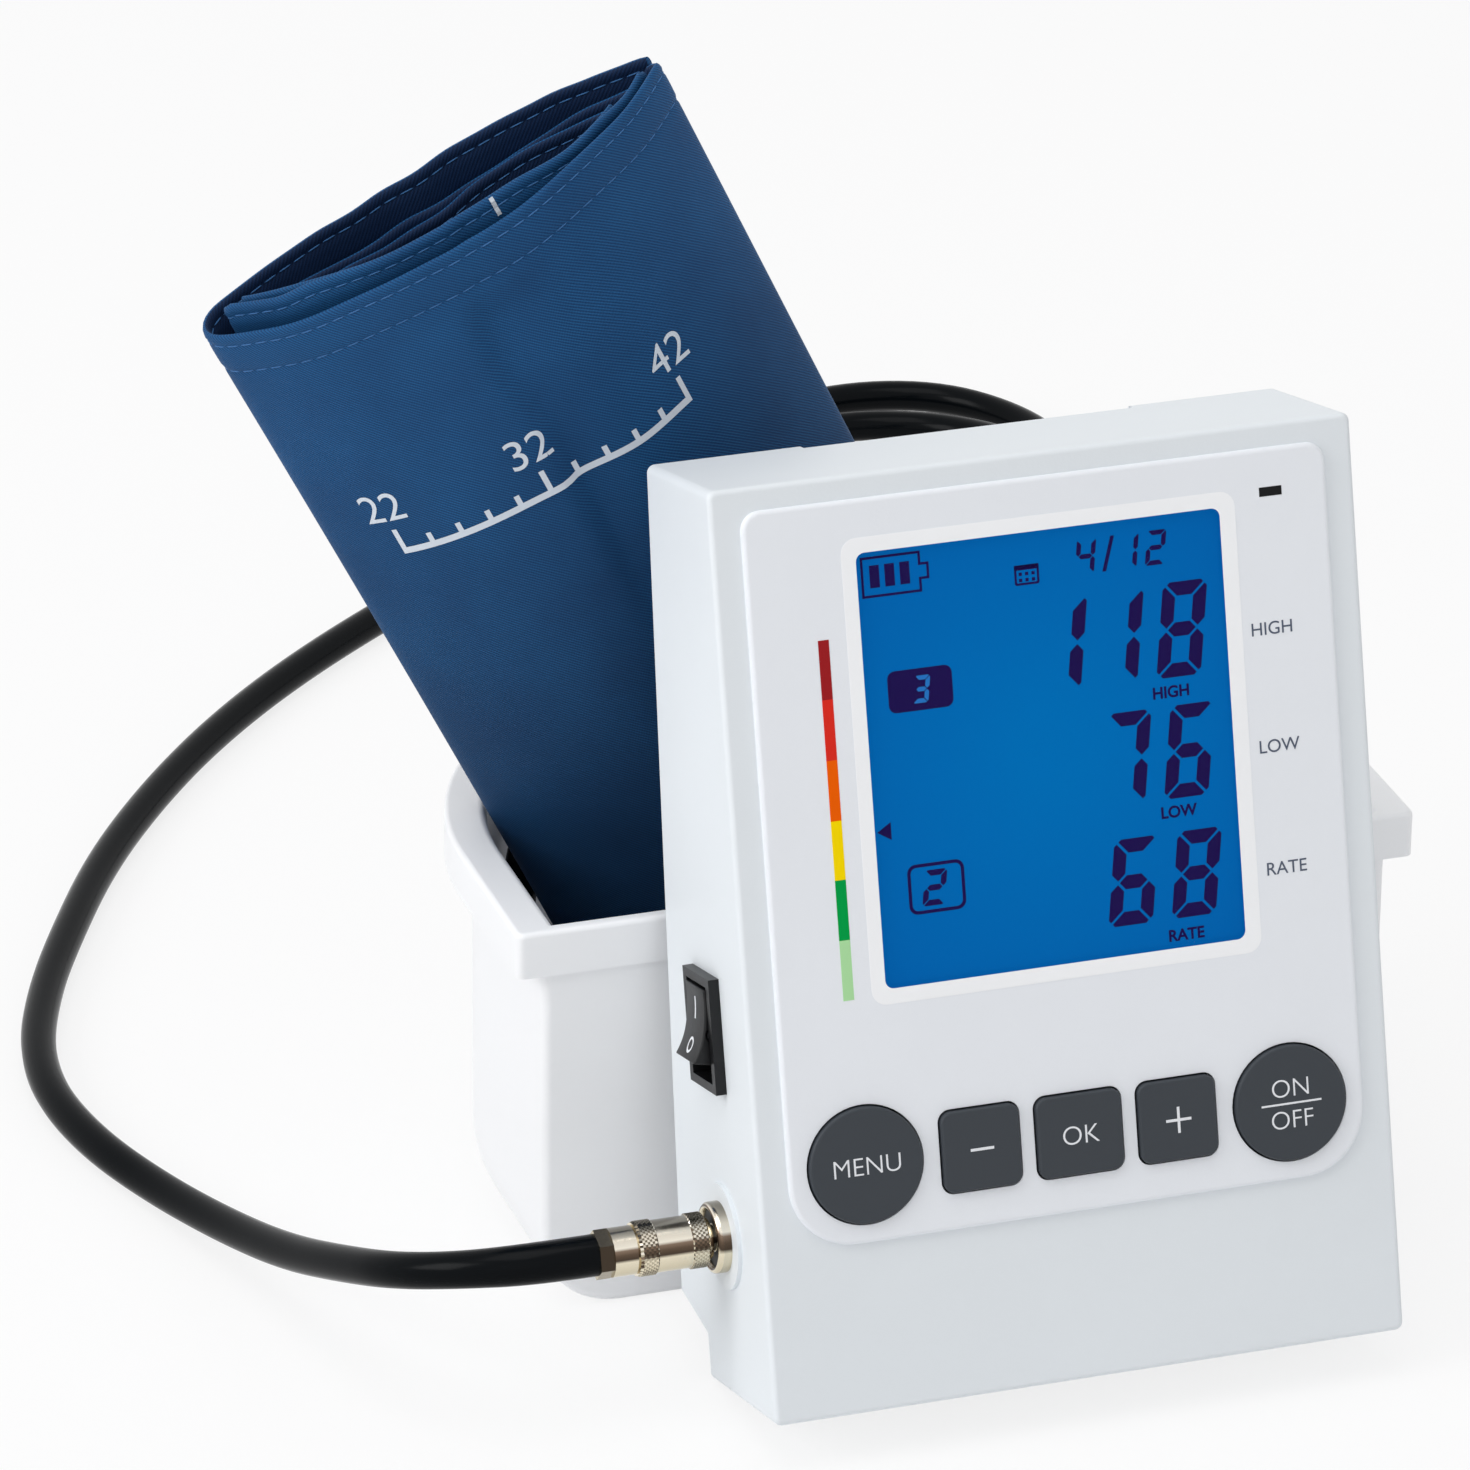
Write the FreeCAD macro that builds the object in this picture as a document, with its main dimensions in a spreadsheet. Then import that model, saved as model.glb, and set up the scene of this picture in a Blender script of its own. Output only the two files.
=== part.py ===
"""Desk blood pressure monitor with a cuff basket behind it, a rolled arm cuff and its air hose.

The basket stands on the table with its floor's centre at the origin, and the monitor leans back before it.
X runs to the right, Y to the back and Z up. Monitor pieces are drawn in the monitor's own upright frame:
x across the face, y the depth behind the face, z the rise above the face's lower edge.
"""
import FreeCAD, Part
import math
import os
import re
import Sketcher

SIZES = {
    # Monitor housing
    "lean_angle": 15,
    "foot_gap": 0.06,
    "skirt_drop": 2.6,
    "wall": 2.4,
    "front_edge_radius": 1,
    "side_corner_radius": 1.5,
    "seam_setback": 11,
    "back_top_swell": 3.1,
    "back_bottom_swell": 19.9,
    "back_bottom_rise": 11.4,
    "foot_swell": 4.2,
    "foot_rise": 6.2,
    "back_edge_radius": 1.2,
    # Case screws and their posts
    "post_inset": 7.5,
    "post_radius": 4.2,
    "screw_radius": 1.4,
    "screw_head_radius": 2.7,
    "screw_head_height": 1.8,
    "screw_clearance": 0.08,
    "screw_bite": 9,
    "screw_seat": 1.6,
    # Face plate and display
    "plate_side_margin": 5.5,
    "plate_top_margin": 4.3,
    "plate_bottom": 28.5,
    "plate_thickness": 1,
    "plate_edge_radius": 0.85,
    "plate_top_radius": 3.5,
    "plate_bottom_radius": 12,
    "window_side_margin": 18,
    "window_top_margin": 7.1,
    "window_height": 83,
    "window_thickness": 0.8,
    "window_radius": 2.5,
    "window_clearance": 0.12,
    "window_border": 2.6,
    "display_radius": 1.6,
    "display_border": 3,
    "glass_thickness": 2.8,
    "backlight_thickness": 4.4,
    "frame_rim": 3.6,
    "frame_clearance": 0.2,
    # Main board
    "board_depth": 10,
    "board_thickness": 1.6,
    "board_side_gap": 5.6,
    "board_bottom": 22,
    "board_top_gap": 14.7,
    "board_post_inset": 4,
    "board_post_radius": 3,
    "board_screw_length": 6,
    # Buttons
    "button_window_gap": 17.9,
    "button_foot_margin": 3.7,
    "button_side_margin": 3.7,
    "outer_button_gap": 3.65,
    "inner_button_gap": 3.2,
    "round_button_radius": 10.6,
    "square_button_width": 14.7,
    "set_button_width": 16.1,
    "square_button_height": 14.8,
    "square_button_radius": 2,
    "button_proud": 1,
    "button_edge_radius": 0.5,
    "button_clearance": 0.35,
    "button_flange": 1.1,
    "button_flange_thickness": 1.2,
    "button_stem_radius": 2.2,
    "button_travel": 0.8,
    "press_clearance": 0.3,
    "tact_width": 6,
    "tact_height": 3.6,
    # Indicator lens
    "lens_side_margin": 10.8,
    "lens_top_margin": 7.8,
    "lens_width": 4.2,
    "lens_height": 1.6,
    "lens_clearance": 0.05,
    # Rocker switch on the left side
    "switch_rise": 65.7,
    "bezel_length": 21,
    "bezel_width": 15,
    "bezel_thickness": 2,
    "switch_body_length": 18.8,
    "switch_body_width": 12.8,
    "switch_body_depth": 15,
    "switch_hole_clearance": 0.1,
    "rocker_end_radius": 8.5,
    "rocker_half_length": 7.9,
    "rocker_lower_reach": 5.5,
    "rocker_width": 10.6,
    "rocker_valley": 1.2,
    "rocker_keel": 5,
    "rocker_pivot_depth": 1,
    "rocker_pin_radius": 1.2,
    "rocker_rest_angle": 12,
    "rocker_clearance": 0.35,
    "rocker_pin_clearance": 0.06,
    "terminal_width": 4.8,
    "terminal_thickness": 0.8,
    "terminal_length": 7,
    "terminal_pitch": 6.6,
    # Air socket and coupler, on an axis across the housing
    "socket_rise": 27.7,
    "pad_radius": 9.7,
    "pad_thickness": 0.8,
    "socket_flange_radius": 6.5,
    "socket_flange_thickness": 1.5,
    "socket_body_radius": 4.5,
    "socket_bore_radius": 1.3,
    "socket_clearance": 0.05,
    "nipple_radius": 2.4,
    "nipple_length": 8,
    "socket_nut_radius": 7.2,
    "socket_nut_thickness": 3.2,
    "socket_inside_length": 12,
    "coupler_gap": 2,
    "coupler_body_radius": 3.7,
    "coupler_bore_clearance": 0.05,
    "collar_radius": 4.75,
    "collar_ring_radius": 5.05,
    "collar_ring_length": 3.5,
    "collar_length": 13,
    "collar_clearance": 0.06,
    "barrel_radius": 4.45,
    "barrel_length": 4.3,
    "barrel_gap": 0.3,
    "hex_nut_radius": 4.6,
    "hex_nut_length": 2.6,
    "hose_radius": 3.4,
    # Air path and pump inside
    "tube_radius": 3,
    "tube_bore_radius": 1.6,
    "tube_length": 7,
    "manifold_width": 14,
    "manifold_height": 12,
    "pump_radius": 9.9,
    "pump_gap": 0.5,
    "pump_head_length": 18,
    "motor_length": 30,
    "motor_radius": 9,
    "cradle_clearance": 0.1,
    "sensor_width": 11,
    "sensor_height": 10,
    "sensor_thickness": 6,
    "valve_radius": 5.5,
    "valve_length": 13,
    "jack_radius": 3.6,
    "jack_width": 9,
    "jack_length": 12,
    "jack_bore_radius": 2.8,
    # Batteries and their door in the back
    "cell_radius": 7.2,
    "cell_length": 50.5,
    "cell_gap": 0.4,
    "tray_wall": 1.4,
    "tray_top_gap": 12,
    "contact_gap": 2.2,
    "contact_width": 9,
    "door_side_margin": 1.2,
    "door_foot": 5,
    "door_top_gap": 2.7,
    "door_thickness": 1.8,
    "door_clearance": 0.3,
    "door_rail": 3,
    "door_rail_thickness": 1.2,
    "door_rail_top_gap": 12.7,
    "door_grip_depth": 0.7,
    "door_grip_height": 2.2,
    "door_grip_pitch": 4.4,
    # Basket and its bracket
    "basket_width": 163.4,
    "basket_depth": 99.5,
    "basket_height": 78.4,
    "basket_corner_radius": 64.8,
    "basket_bottom_radius": 15,
    "basket_wall": 2.6,
    "basket_floor": 3,
    "lip_overhang": 5.2,
    "lip_front_overhang": 0.8,
    "lip_height": 9,
    "lip_edge_radius": 1,
    "front_corner_radius": 1.6,
    "lip_inner_radius": 1.6,
    "bracket_width": 70,
    "bracket_bottom_rise": 24,
    "bracket_top_rise": 64,
    "bracket_top_thickness": 6.2,
    "bracket_screw_radius": 1.9,
    "bracket_screw_bite": 5,
    "bracket_head_radius": 3.6,
    "bracket_head_height": 2,
    "bracket_screw_pitch": 44,
    "bracket_screw_low": 26,
    "bracket_screw_high": 48,
    "bracket_bolt_pitch": 24,
    "bracket_bolt_rise": 44,
    # Rolled cuff, leaning to the left in the basket
    "cuff_lean": 26,
    "cuff_left": -40.4,
    "cuff_front_gap": 19.15,
    "cuff_height": 198,
    "cuff_floor_gap": 0.3,
    "band_thickness": 2.2,
    "band_pitch": 2.9,
    "front_bulge_radius": 56,
    "back_bulge_radius": 130,
    "fold_radius": 7.6,
    "fold_offset": 39,
    "port_radius": 3.9,
    "port_stem_length": 11,
    "port_arm_length": 12,
    "hose_exit": 11.5,
    # Cutting tools reach this far past what they cut
    "overrun": 1,
}

# Sizes that follow from the ones above: the row of buttons sets the widths, the stack from the chin up
# sets the heights, and the stack from the face back sets the depths
WORKED_OUT = {
    "square_button_x": "set_button_width/2 + inner_button_gap + square_button_width/2",
    "round_button_x": "square_button_x + square_button_width/2 + outer_button_gap + round_button_radius",
    "plate_width": "2*(round_button_x + round_button_radius + button_side_margin)",
    "face_width": "plate_width + 2*plate_side_margin",
    "window_width": "plate_width - 2*window_side_margin",
    "display_width": "window_width - 2*window_border",
    "display_height": "window_height - 2*window_border",
    "board_width": "face_width - 2*wall - 2*board_side_gap",
    "button_rise": "plate_bottom + button_foot_margin + round_button_radius",
    "window_rise": "button_rise + round_button_radius + button_window_gap + window_height/2",
    "plate_top": "window_rise + window_height/2 + window_top_margin",
    "face_height": "plate_top + plate_top_margin",
    "board_top": "face_height - board_top_gap",
    "lens_x": "plate_width/2 - lens_side_margin",
    "lens_rise": "plate_top - lens_top_margin",
    "socket_depth": "board_depth + board_thickness + pump_radius + pump_gap",
    "switch_depth": "socket_depth",
    "front_depth": "socket_depth + seam_setback",
    "back_top_depth": "front_depth + back_top_swell",
    "back_bottom_depth": "front_depth + back_bottom_swell",
    "foot_depth": "front_depth + foot_swell",
    "tray_bottom": "face_height - tray_top_gap - cell_length - 2*contact_gap - 2*tray_wall",
    "door_width": "8*cell_radius + 5*cell_gap + 2*door_side_margin",
    "door_bottom": "tray_bottom - door_foot",
    "door_top": "face_height - door_top_gap",
    "door_rail_top": "face_height - door_rail_top_gap",
}

doc = FreeCAD.newDocument("blood_pressure_monitor")
sheet = doc.addObject("Spreadsheet::Sheet", "sizes")
for row, (size_name, size) in enumerate(SIZES.items(), 1):
    sheet.set(f"A{row}", size_name)
    sheet.set(f"B{row}", str(size))
    sheet.setAlias(f"B{row}", size_name)
doc.recompute()


def bound(text):
    """The expression with worked-out names spelled out and each size's name pointed at its cell."""
    def spell(found):
        word = found[0]
        if word in WORKED_OUT:
            return f"({bound(WORKED_OUT[word])})"
        return "sizes." + word if word in SIZES else word
    return re.sub(r"[a-z][a-z_]+", spell, text)


def value(text):
    """The number that an expression of sizes comes to."""
    return float(sheet.evalExpression(bound(text)))


def vector(texts):
    return FreeCAD.Vector(*(value(text) for text in texts))


# Helpers for bodies drawn in sketches

def new_body(name):
    body = doc.addObject("PartDesign::Body", name)
    body.Label = name
    return body


def sketch_on(body, role, shift="0"):
    """Sketch on one of the body's own origin planes, moved along the plane's normal."""
    sketch = body.newObject("Sketcher::SketchObject", body.Name + "_sketch")
    plane = next(item for item in body.Origin.OriginFeatures if item.Role == role)
    sketch.AttachmentSupport = [(plane, "")]
    sketch.MapMode = "FlatFace"
    sketch.setExpression("AttachmentOffset.Base.z", bound(shift))
    return sketch


def hold(sketch, kind, place, text):
    """Dimension of a sketch, bound to an expression of sizes."""
    index = sketch.addConstraint(Sketcher.Constraint(kind, *place, value(text)))
    sketch.setExpression(f"Constraints[{index}]", bound(text))


def polygon(sketch, corners):
    """Closed outline with each corner held at its own coordinates."""
    first = sketch.GeometryCount
    count = len(corners)
    points = [vector((x, y, "0")) for x, y in corners]
    for index in range(count):
        sketch.addGeometry(Part.LineSegment(points[index], points[(index + 1) % count]), False)
    for index, (x, y) in enumerate(corners):
        following = first + (index + 1) % count
        sketch.addConstraint(Sketcher.Constraint("Coincident", first + index, 2, following, 1))
        hold(sketch, "DistanceX", (first + index, 1), x)
        hold(sketch, "DistanceY", (first + index, 1), y)


def rectangle(sketch, x, y, width, height):
    """Rectangle about its centre."""
    left, right = f"({x}) - ({width})/2", f"({x}) + ({width})/2"
    low, high = f"({y}) - ({height})/2", f"({y}) + ({height})/2"
    polygon(sketch, [(left, low), (right, low), (right, high), (left, high)])


def circle(sketch, x, y, radius):
    index = sketch.GeometryCount
    sketch.addGeometry(Part.Circle(vector((x, y, "0")), FreeCAD.Vector(0, 0, 1), value(radius)), False)
    hold(sketch, "Radius", (index,), radius)
    hold(sketch, "DistanceX", (index, 3), x)
    hold(sketch, "DistanceY", (index, 3), y)


def dee(sketch, half_width, front, back, radius):
    """D-shaped outline: a straight front, straight sides and two round back corners."""
    inner, side_end = f"({half_width}) - ({radius})", f"({back}) - ({radius})"
    first = sketch.GeometryCount
    lines = [((f"-({half_width})", front), (half_width, front)),
             ((half_width, front), (half_width, side_end)),
             ((inner, back), (f"-({inner})", back)),
             ((f"-({half_width})", side_end), (f"-({half_width})", front))]
    for start, end in lines:
        sketch.addGeometry(Part.LineSegment(vector(start + ("0",)), vector(end + ("0",))), False)
    for sign, start, end in (("", 0, math.pi / 2), ("-", math.pi / 2, math.pi)):
        centre = vector((f"{sign}({inner})", side_end, "0"))
        whole = Part.Circle(centre, FreeCAD.Vector(0, 0, 1), value(radius))
        sketch.addGeometry(Part.ArcOfCircle(whole, start, end), False)
    front_line, right_line, back_line, left_line, right_arc, left_arc = range(first, first + len(lines) + 2)
    joints = [(front_line, 2, right_line, 1), (right_line, 2, right_arc, 1), (right_arc, 2, back_line, 1),
              (back_line, 2, left_arc, 1), (left_arc, 2, left_line, 1), (left_line, 2, front_line, 1)]
    for joint in joints:
        sketch.addConstraint(Sketcher.Constraint("Coincident", *joint))
    for line, (start, end) in zip((front_line, right_line, back_line, left_line), lines):
        hold(sketch, "DistanceX", (line, 1), start[0])
        hold(sketch, "DistanceY", (line, 1), start[1])
    for line, (start, end) in ((right_line, lines[1]), (back_line, lines[2])):
        hold(sketch, "DistanceX", (line, 2), end[0])
        hold(sketch, "DistanceY", (line, 2), end[1])
    for arc in (right_arc, left_arc):
        hold(sketch, "Radius", (arc,), radius)


def grow(body, kind, sketch, length, symmetric=False, reverse=False):
    """Pad or pocket of a sketch."""
    feature = body.newObject("PartDesign::" + kind, body.Name + "_" + kind.lower())
    feature.Profile = sketch
    feature.setExpression("Length", bound(length))
    feature.SideType = "Symmetric" if symmetric else "One side"
    feature.Reversed = reverse
    body.Tip = feature
    return feature


def round_edges(body, radius, picks):
    """Fillet on the edges of the body so far that the test picks."""
    doc.recompute()
    base = body.Tip
    names = [f"Edge{number}" for number, edge in enumerate(base.Shape.Edges, 1) if picks(edge)]
    feature = body.newObject("PartDesign::Fillet", body.Name + "_fillet")
    feature.Base = (base, names)
    feature.setExpression("Radius", bound(radius))
    body.Tip = feature


# Helpers for pieces made of plain solids

def box(name, size, corner):
    """Box from its low corner."""
    piece = doc.addObject("Part::Box", name)
    for side, text in zip(("Length", "Width", "Height"), size):
        piece.setExpression(side, bound(text))
    for axis, text in zip("xyz", corner):
        piece.setExpression("Placement.Base." + axis, bound(text))
    return piece


TURNS = {"x": (FreeCAD.Vector(0, 1, 0), 90), "-x": (FreeCAD.Vector(0, 1, 0), -90),
         "y": (FreeCAD.Vector(1, 0, 0), -90), "-y": (FreeCAD.Vector(1, 0, 0), 90),
         "z": (FreeCAD.Vector(0, 0, 1), 0)}


def bar(name, radius, length):
    """Round bar along Z, still to be placed."""
    piece = doc.addObject("Part::Cylinder", name)
    piece.setExpression("Radius", bound(radius))
    piece.setExpression("Height", bound(length))
    return piece


def rod(name, radius, length, start, axis):
    """Round bar from its start along an axis."""
    piece = bar(name, radius, length)
    piece.Placement.Rotation = FreeCAD.Rotation(*TURNS[axis])
    for letter, text in zip("xyz", start):
        piece.setExpression("Placement.Base." + letter, bound(text))
    return piece


def join(name, pieces):
    whole = doc.addObject("Part::MultiFuse", name)
    whole.Shapes = pieces
    whole.Refine = True
    return whole


def group(name, pieces):
    """Like pieces kept as separate solids of one node."""
    whole = doc.addObject("Part::Compound", name)
    whole.Links = pieces
    return whole


def cut(name, base, tools):
    result = doc.addObject("Part::Cut", name)
    result.Base = base
    result.Tool = tools[0] if len(tools) == 1 else group(name + "_tools", tools)
    return result


def tube(name, radius, bore, length, start, axis):
    """Round pipe with its bore cut right through."""
    whole = rod(name + "_bar", radius, length, start, axis)
    return cut(name, whole, [rod(name + "_bore", bore, length, start, axis)])


NODES = []


def keep(label, piece, pose):
    piece.Label = label
    NODES.append((label, piece, pose))
    return piece


# Places that several pieces share

HALF_FACE = "face_width/2"
BOTTOM = "(0 - skirt_drop)"
INNER_BOTTOM = "(wall - skirt_drop)"
BACK_SLOPE = "((back_bottom_depth - back_top_depth)/(face_height - back_bottom_rise))"
FACE_REST = "(foot_depth*sin(lean_angle) + skirt_drop*cos(lean_angle) + foot_gap)"
LEFT_WALL = "(0 - face_width/2)"
BOARD_BACK = "(board_depth + board_thickness)"
BASKET_FRONT = "(0 - basket_depth/2)"
BASKET_BACK = "(basket_depth/2)"


def back_depth(rise):
    """Depth of the housing's sloping back at a rise."""
    return f"(back_bottom_depth - (({rise}) - back_bottom_rise)*{BACK_SLOPE})"


SETBACK = (f"({back_depth('bracket_top_rise')}*cos(lean_angle) + bracket_top_rise*sin(lean_angle)"
           " + bracket_top_thickness + basket_depth/2)")

BASKET_POSE = FreeCAD.Placement()
MONITOR_POSE = FreeCAD.Placement(vector(("0", f"0 - {SETBACK}", FACE_REST)),
                                 FreeCAD.Rotation(FreeCAD.Vector(1, 0, 0), -value("lean_angle")))

CASE_POSTS = [(f"{side}({HALF_FACE} - post_inset)", rise)
              for side in ("", "0 - ")
              for rise in ("(post_inset - skirt_drop)", "(face_height - post_inset)")]
BOARD_POSTS = [(f"{side}(board_width/2 - board_post_inset)", rise)
               for side in ("", "0 - ")
               for rise in ("(board_bottom + board_post_inset)", "(board_top - board_post_inset)")]
BUTTONS = [("mode_button", "(0 - round_button_x)", None),
           ("minus_button", "(0 - square_button_x)", "square_button_width"),
           ("set_button", "0", "set_button_width"),
           ("plus_button", "square_button_x", "square_button_width"),
           ("start_button", "round_button_x", None)]


near_share = 0.01


def near(number, text):
    """Whether a measured number is the size, within a small share of the overrun."""
    return abs(number - value(text)) < value("overrun") * near_share


def beyond(number, text):
    """Whether a measured number is clearly past the size."""
    return number > value(text) + value("overrun") * near_share


def along(edge, axis):
    """Whether an edge is straight and runs along an axis."""
    if edge.Curve.TypeId != "Part::GeomLine":
        return False
    return abs(abs(getattr(edge.tangentAt(edge.FirstParameter), axis)) - 1) < 1e-6


def button_openings(sketch):
    """Holes for the five buttons, wider than the caps by the button clearance."""
    for _, x, width in BUTTONS:
        if width is None:
            circle(sketch, x, "button_rise", "round_button_radius + button_clearance")
        else:
            rectangle(sketch, x, "button_rise", f"{width} + 2*button_clearance",
                      "square_button_height + 2*button_clearance")


def round_openings(body):
    """Rounds the corners of the square buttons' holes, a clearance wider than the caps' own corners."""
    row_reach = "square_button_x + square_button_width/2 + button_clearance"
    half_hole = "square_button_height/2 + button_clearance"
    round_edges(body, "square_button_radius + button_clearance",
                lambda edge: along(edge, "y") and not beyond(abs(edge.BoundBox.XMin), row_reach)
                and near(abs(edge.BoundBox.ZMin - value("button_rise")), half_hole))


# Front shell: a moulded tub with the face, the side walls and the posts for the board and the rear cover

shell = new_body("front_shell")
outline = sketch_on(shell, "XZ_Plane", "0 - front_depth")
rectangle(outline, "0", f"({BOTTOM} + face_height)/2", "face_width", "face_height + skirt_drop")
grow(shell, "Pad", outline, "front_depth")
round_edges(shell, "side_corner_radius", lambda edge: along(edge, "y"))
round_edges(shell, "front_edge_radius", lambda edge: near(edge.BoundBox.YMax, "0"))
hollow = sketch_on(shell, "XZ_Plane", "0 - front_depth")
rectangle(hollow, "0", f"({BOTTOM} + face_height)/2", "face_width - 2*wall",
          "face_height + skirt_drop - 2*wall")
grow(shell, "Pocket", hollow, "front_depth - wall", reverse=True)
posts = sketch_on(shell, "XZ_Plane", "0 - wall/2")
for x, rise in CASE_POSTS:
    circle(posts, x, rise, "post_radius")
grow(shell, "Pad", posts, "front_depth - wall/2", reverse=True)
board_posts = sketch_on(shell, "XZ_Plane", "0 - wall/2")
for x, rise in BOARD_POSTS:
    circle(board_posts, x, rise, "board_post_radius")
grow(shell, "Pad", board_posts, "board_depth - wall/2", reverse=True)
case_holes = sketch_on(shell, "XZ_Plane", "0 - front_depth")
for x, rise in CASE_POSTS:
    circle(case_holes, x, rise, "screw_radius + screw_clearance")
grow(shell, "Pocket", case_holes, "screw_bite + overrun", reverse=True)
board_holes = sketch_on(shell, "XZ_Plane", "0 - board_depth")
for x, rise in BOARD_POSTS:
    circle(board_holes, x, rise, "screw_radius + screw_clearance")
grow(shell, "Pocket", board_holes, "board_screw_length", reverse=True)
front_holes = sketch_on(shell, "XZ_Plane", "overrun")
rectangle(front_holes, "0", "window_rise", "display_width", "display_height")
rectangle(front_holes, "lens_x", "lens_rise", "lens_width + 2*lens_clearance",
          "lens_height + 2*lens_clearance")
button_openings(front_holes)
grow(shell, "Pocket", front_holes, "wall + 2*overrun")
round_openings(shell)
round_edges(shell, "display_radius",
            lambda edge: along(edge, "y") and near(abs(edge.BoundBox.XMin), "display_width/2")
            and near(abs(edge.BoundBox.ZMin - value("window_rise")), "display_height/2"))
left_holes = sketch_on(shell, "YZ_Plane", f"{LEFT_WALL} - overrun")
rectangle(left_holes, "switch_depth", "switch_rise", "switch_body_width + 2*switch_hole_clearance",
          "switch_body_length + 2*switch_hole_clearance")
circle(left_holes, "socket_depth", "socket_rise", "socket_body_radius + socket_clearance")
grow(shell, "Pocket", left_holes, "wall + 2*overrun", reverse=True)
right_hole = sketch_on(shell, "YZ_Plane", f"{HALF_FACE} + overrun")
circle(right_hole, "socket_depth", "socket_rise", "jack_radius + socket_clearance")
grow(shell, "Pocket", right_hole, "wall + 2*overrun")
pad_sketch = sketch_on(shell, "YZ_Plane", f"{LEFT_WALL} + wall/2")
circle(pad_sketch, "socket_depth", "socket_rise", "pad_radius")
circle(pad_sketch, "socket_depth", "socket_rise", "socket_body_radius + socket_clearance")
grow(shell, "Pad", pad_sketch, "pad_thickness + wall/2", reverse=True)
keep("front_shell", shell, MONITOR_POSE)

# Rear cover: the wedge-shaped back with screw bosses, a battery opening and the foot that stands on the table

cover = new_body("rear_cover")
profile = sketch_on(cover, "YZ_Plane")
polygon(profile, [("front_depth", BOTTOM), ("foot_depth", BOTTOM), ("foot_depth", "foot_rise"),
                  ("back_bottom_depth", "back_bottom_rise"), ("back_top_depth", "face_height"),
                  ("front_depth", "face_height")])
grow(cover, "Pad", profile, "face_width", symmetric=True)
round_edges(cover, "side_corner_radius", lambda edge: along(edge, "y"))
round_edges(cover, "back_edge_radius",
            lambda edge: not beyond(value("back_top_depth"), str(edge.BoundBox.YMin))
            and not near(edge.BoundBox.ZMin, BOTTOM) and beyond(edge.BoundBox.ZMax, "foot_rise")
            and not near(edge.BoundBox.ZMin, "foot_rise"))
inside = sketch_on(cover, "YZ_Plane")
polygon(inside, [("front_depth - overrun", INNER_BOTTOM), ("foot_depth - wall", INNER_BOTTOM),
                 ("foot_depth - wall", "foot_rise + wall"),
                 (f"{back_depth('back_bottom_rise + wall')} - wall", "back_bottom_rise + wall"),
                 (f"{back_depth('face_height - wall')} - wall", "face_height - wall"),
                 ("front_depth - overrun", "face_height - wall")])
grow(cover, "Pocket", inside, "face_width - 2*wall", symmetric=True)
bosses = sketch_on(cover, "XZ_Plane", "0 - front_depth")
for x, rise in CASE_POSTS:
    circle(bosses, x, rise, "post_radius")
grow(cover, "Pad", bosses, "screw_seat + wall/2", reverse=True)
boss_holes = sketch_on(cover, "XZ_Plane", "0 - front_depth + overrun")
for x, rise in CASE_POSTS:
    circle(boss_holes, x, rise, "screw_radius + screw_clearance")
grow(cover, "Pocket", boss_holes, "back_bottom_depth")
head_holes = sketch_on(cover, "XZ_Plane", "0 - front_depth - screw_seat")
for x, rise in CASE_POSTS:
    circle(head_holes, x, rise, "screw_head_radius + screw_clearance")
grow(cover, "Pocket", head_holes, "back_bottom_depth")
door_hole = sketch_on(cover, "XZ_Plane", "0 - front_depth + overrun")
rectangle(door_hole, "0", "(door_bottom + face_height)/2 + overrun/2", "door_width + 2*door_clearance",
          "face_height - door_bottom + overrun")
grow(cover, "Pocket", door_hole, "back_bottom_depth")
BACK_NORMAL = vector(("0", "1", BACK_SLOPE)).normalize()
BOLTS = ["bracket_bolt_pitch/2", "0 - bracket_bolt_pitch/2"]


def bolt_bar(name, radius, length, x, set_in, frame):
    """Bar square to the sloping back, from a start that is set in from it."""
    piece = bar(name, radius, length)
    start = vector((x, back_depth("bracket_bolt_rise"), "bracket_bolt_rise")) - BACK_NORMAL * value(set_in)
    turn = FreeCAD.Rotation(FreeCAD.Vector(0, 0, 1), BACK_NORMAL)
    piece.Placement = frame * FreeCAD.Placement(start, turn)
    return piece


BACK_WALL = f"(wall/sqrt(1 + {BACK_SLOPE}^2))"
cover_drills = [bolt_bar(f"cover_drill_{number}", "bracket_screw_radius + screw_clearance",
                         "wall + 2*overrun", x, "wall + overrun", FreeCAD.Placement())
                for number, x in enumerate(BOLTS)]
keep("rear_cover", cut("rear_cover_drilled", cover, cover_drills), MONITOR_POSE)

# Case screws: four self-tapping screws from the back, through the cover's bosses into the shell's posts


def screws(name, places, seat, bite, head_radius, head_height, shank_radius, axis):
    """Screws with pan heads on a seat plane, their shanks running along the axis."""
    pieces = []
    back = axis.strip("-") if axis.startswith("-") else "-" + axis
    for number, (x, rise) in enumerate(places):
        start = (x, seat, rise)
        head = rod(f"{name}_head_{number}", head_radius, head_height, start, back)
        shank = rod(f"{name}_shank_{number}", shank_radius, bite, start, axis)
        pieces.append(join(f"{name}_{number}", [head, shank]))
    return group(name, pieces)


keep("case_screws", screws("case_screws", CASE_POSTS, "front_depth + screw_seat", "screw_bite + screw_seat",
                           "screw_head_radius", "screw_head_height", "screw_radius", "-y"), MONITOR_POSE)
keep("board_screws", screws("board_screws", BOARD_POSTS, BOARD_BACK, "board_screw_length - overrun/2",
                            "screw_head_radius", "screw_head_height", "screw_radius", "-y"), MONITOR_POSE)

# Face plate: a thin raised panel on the face, rounded more at its lower corners

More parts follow.
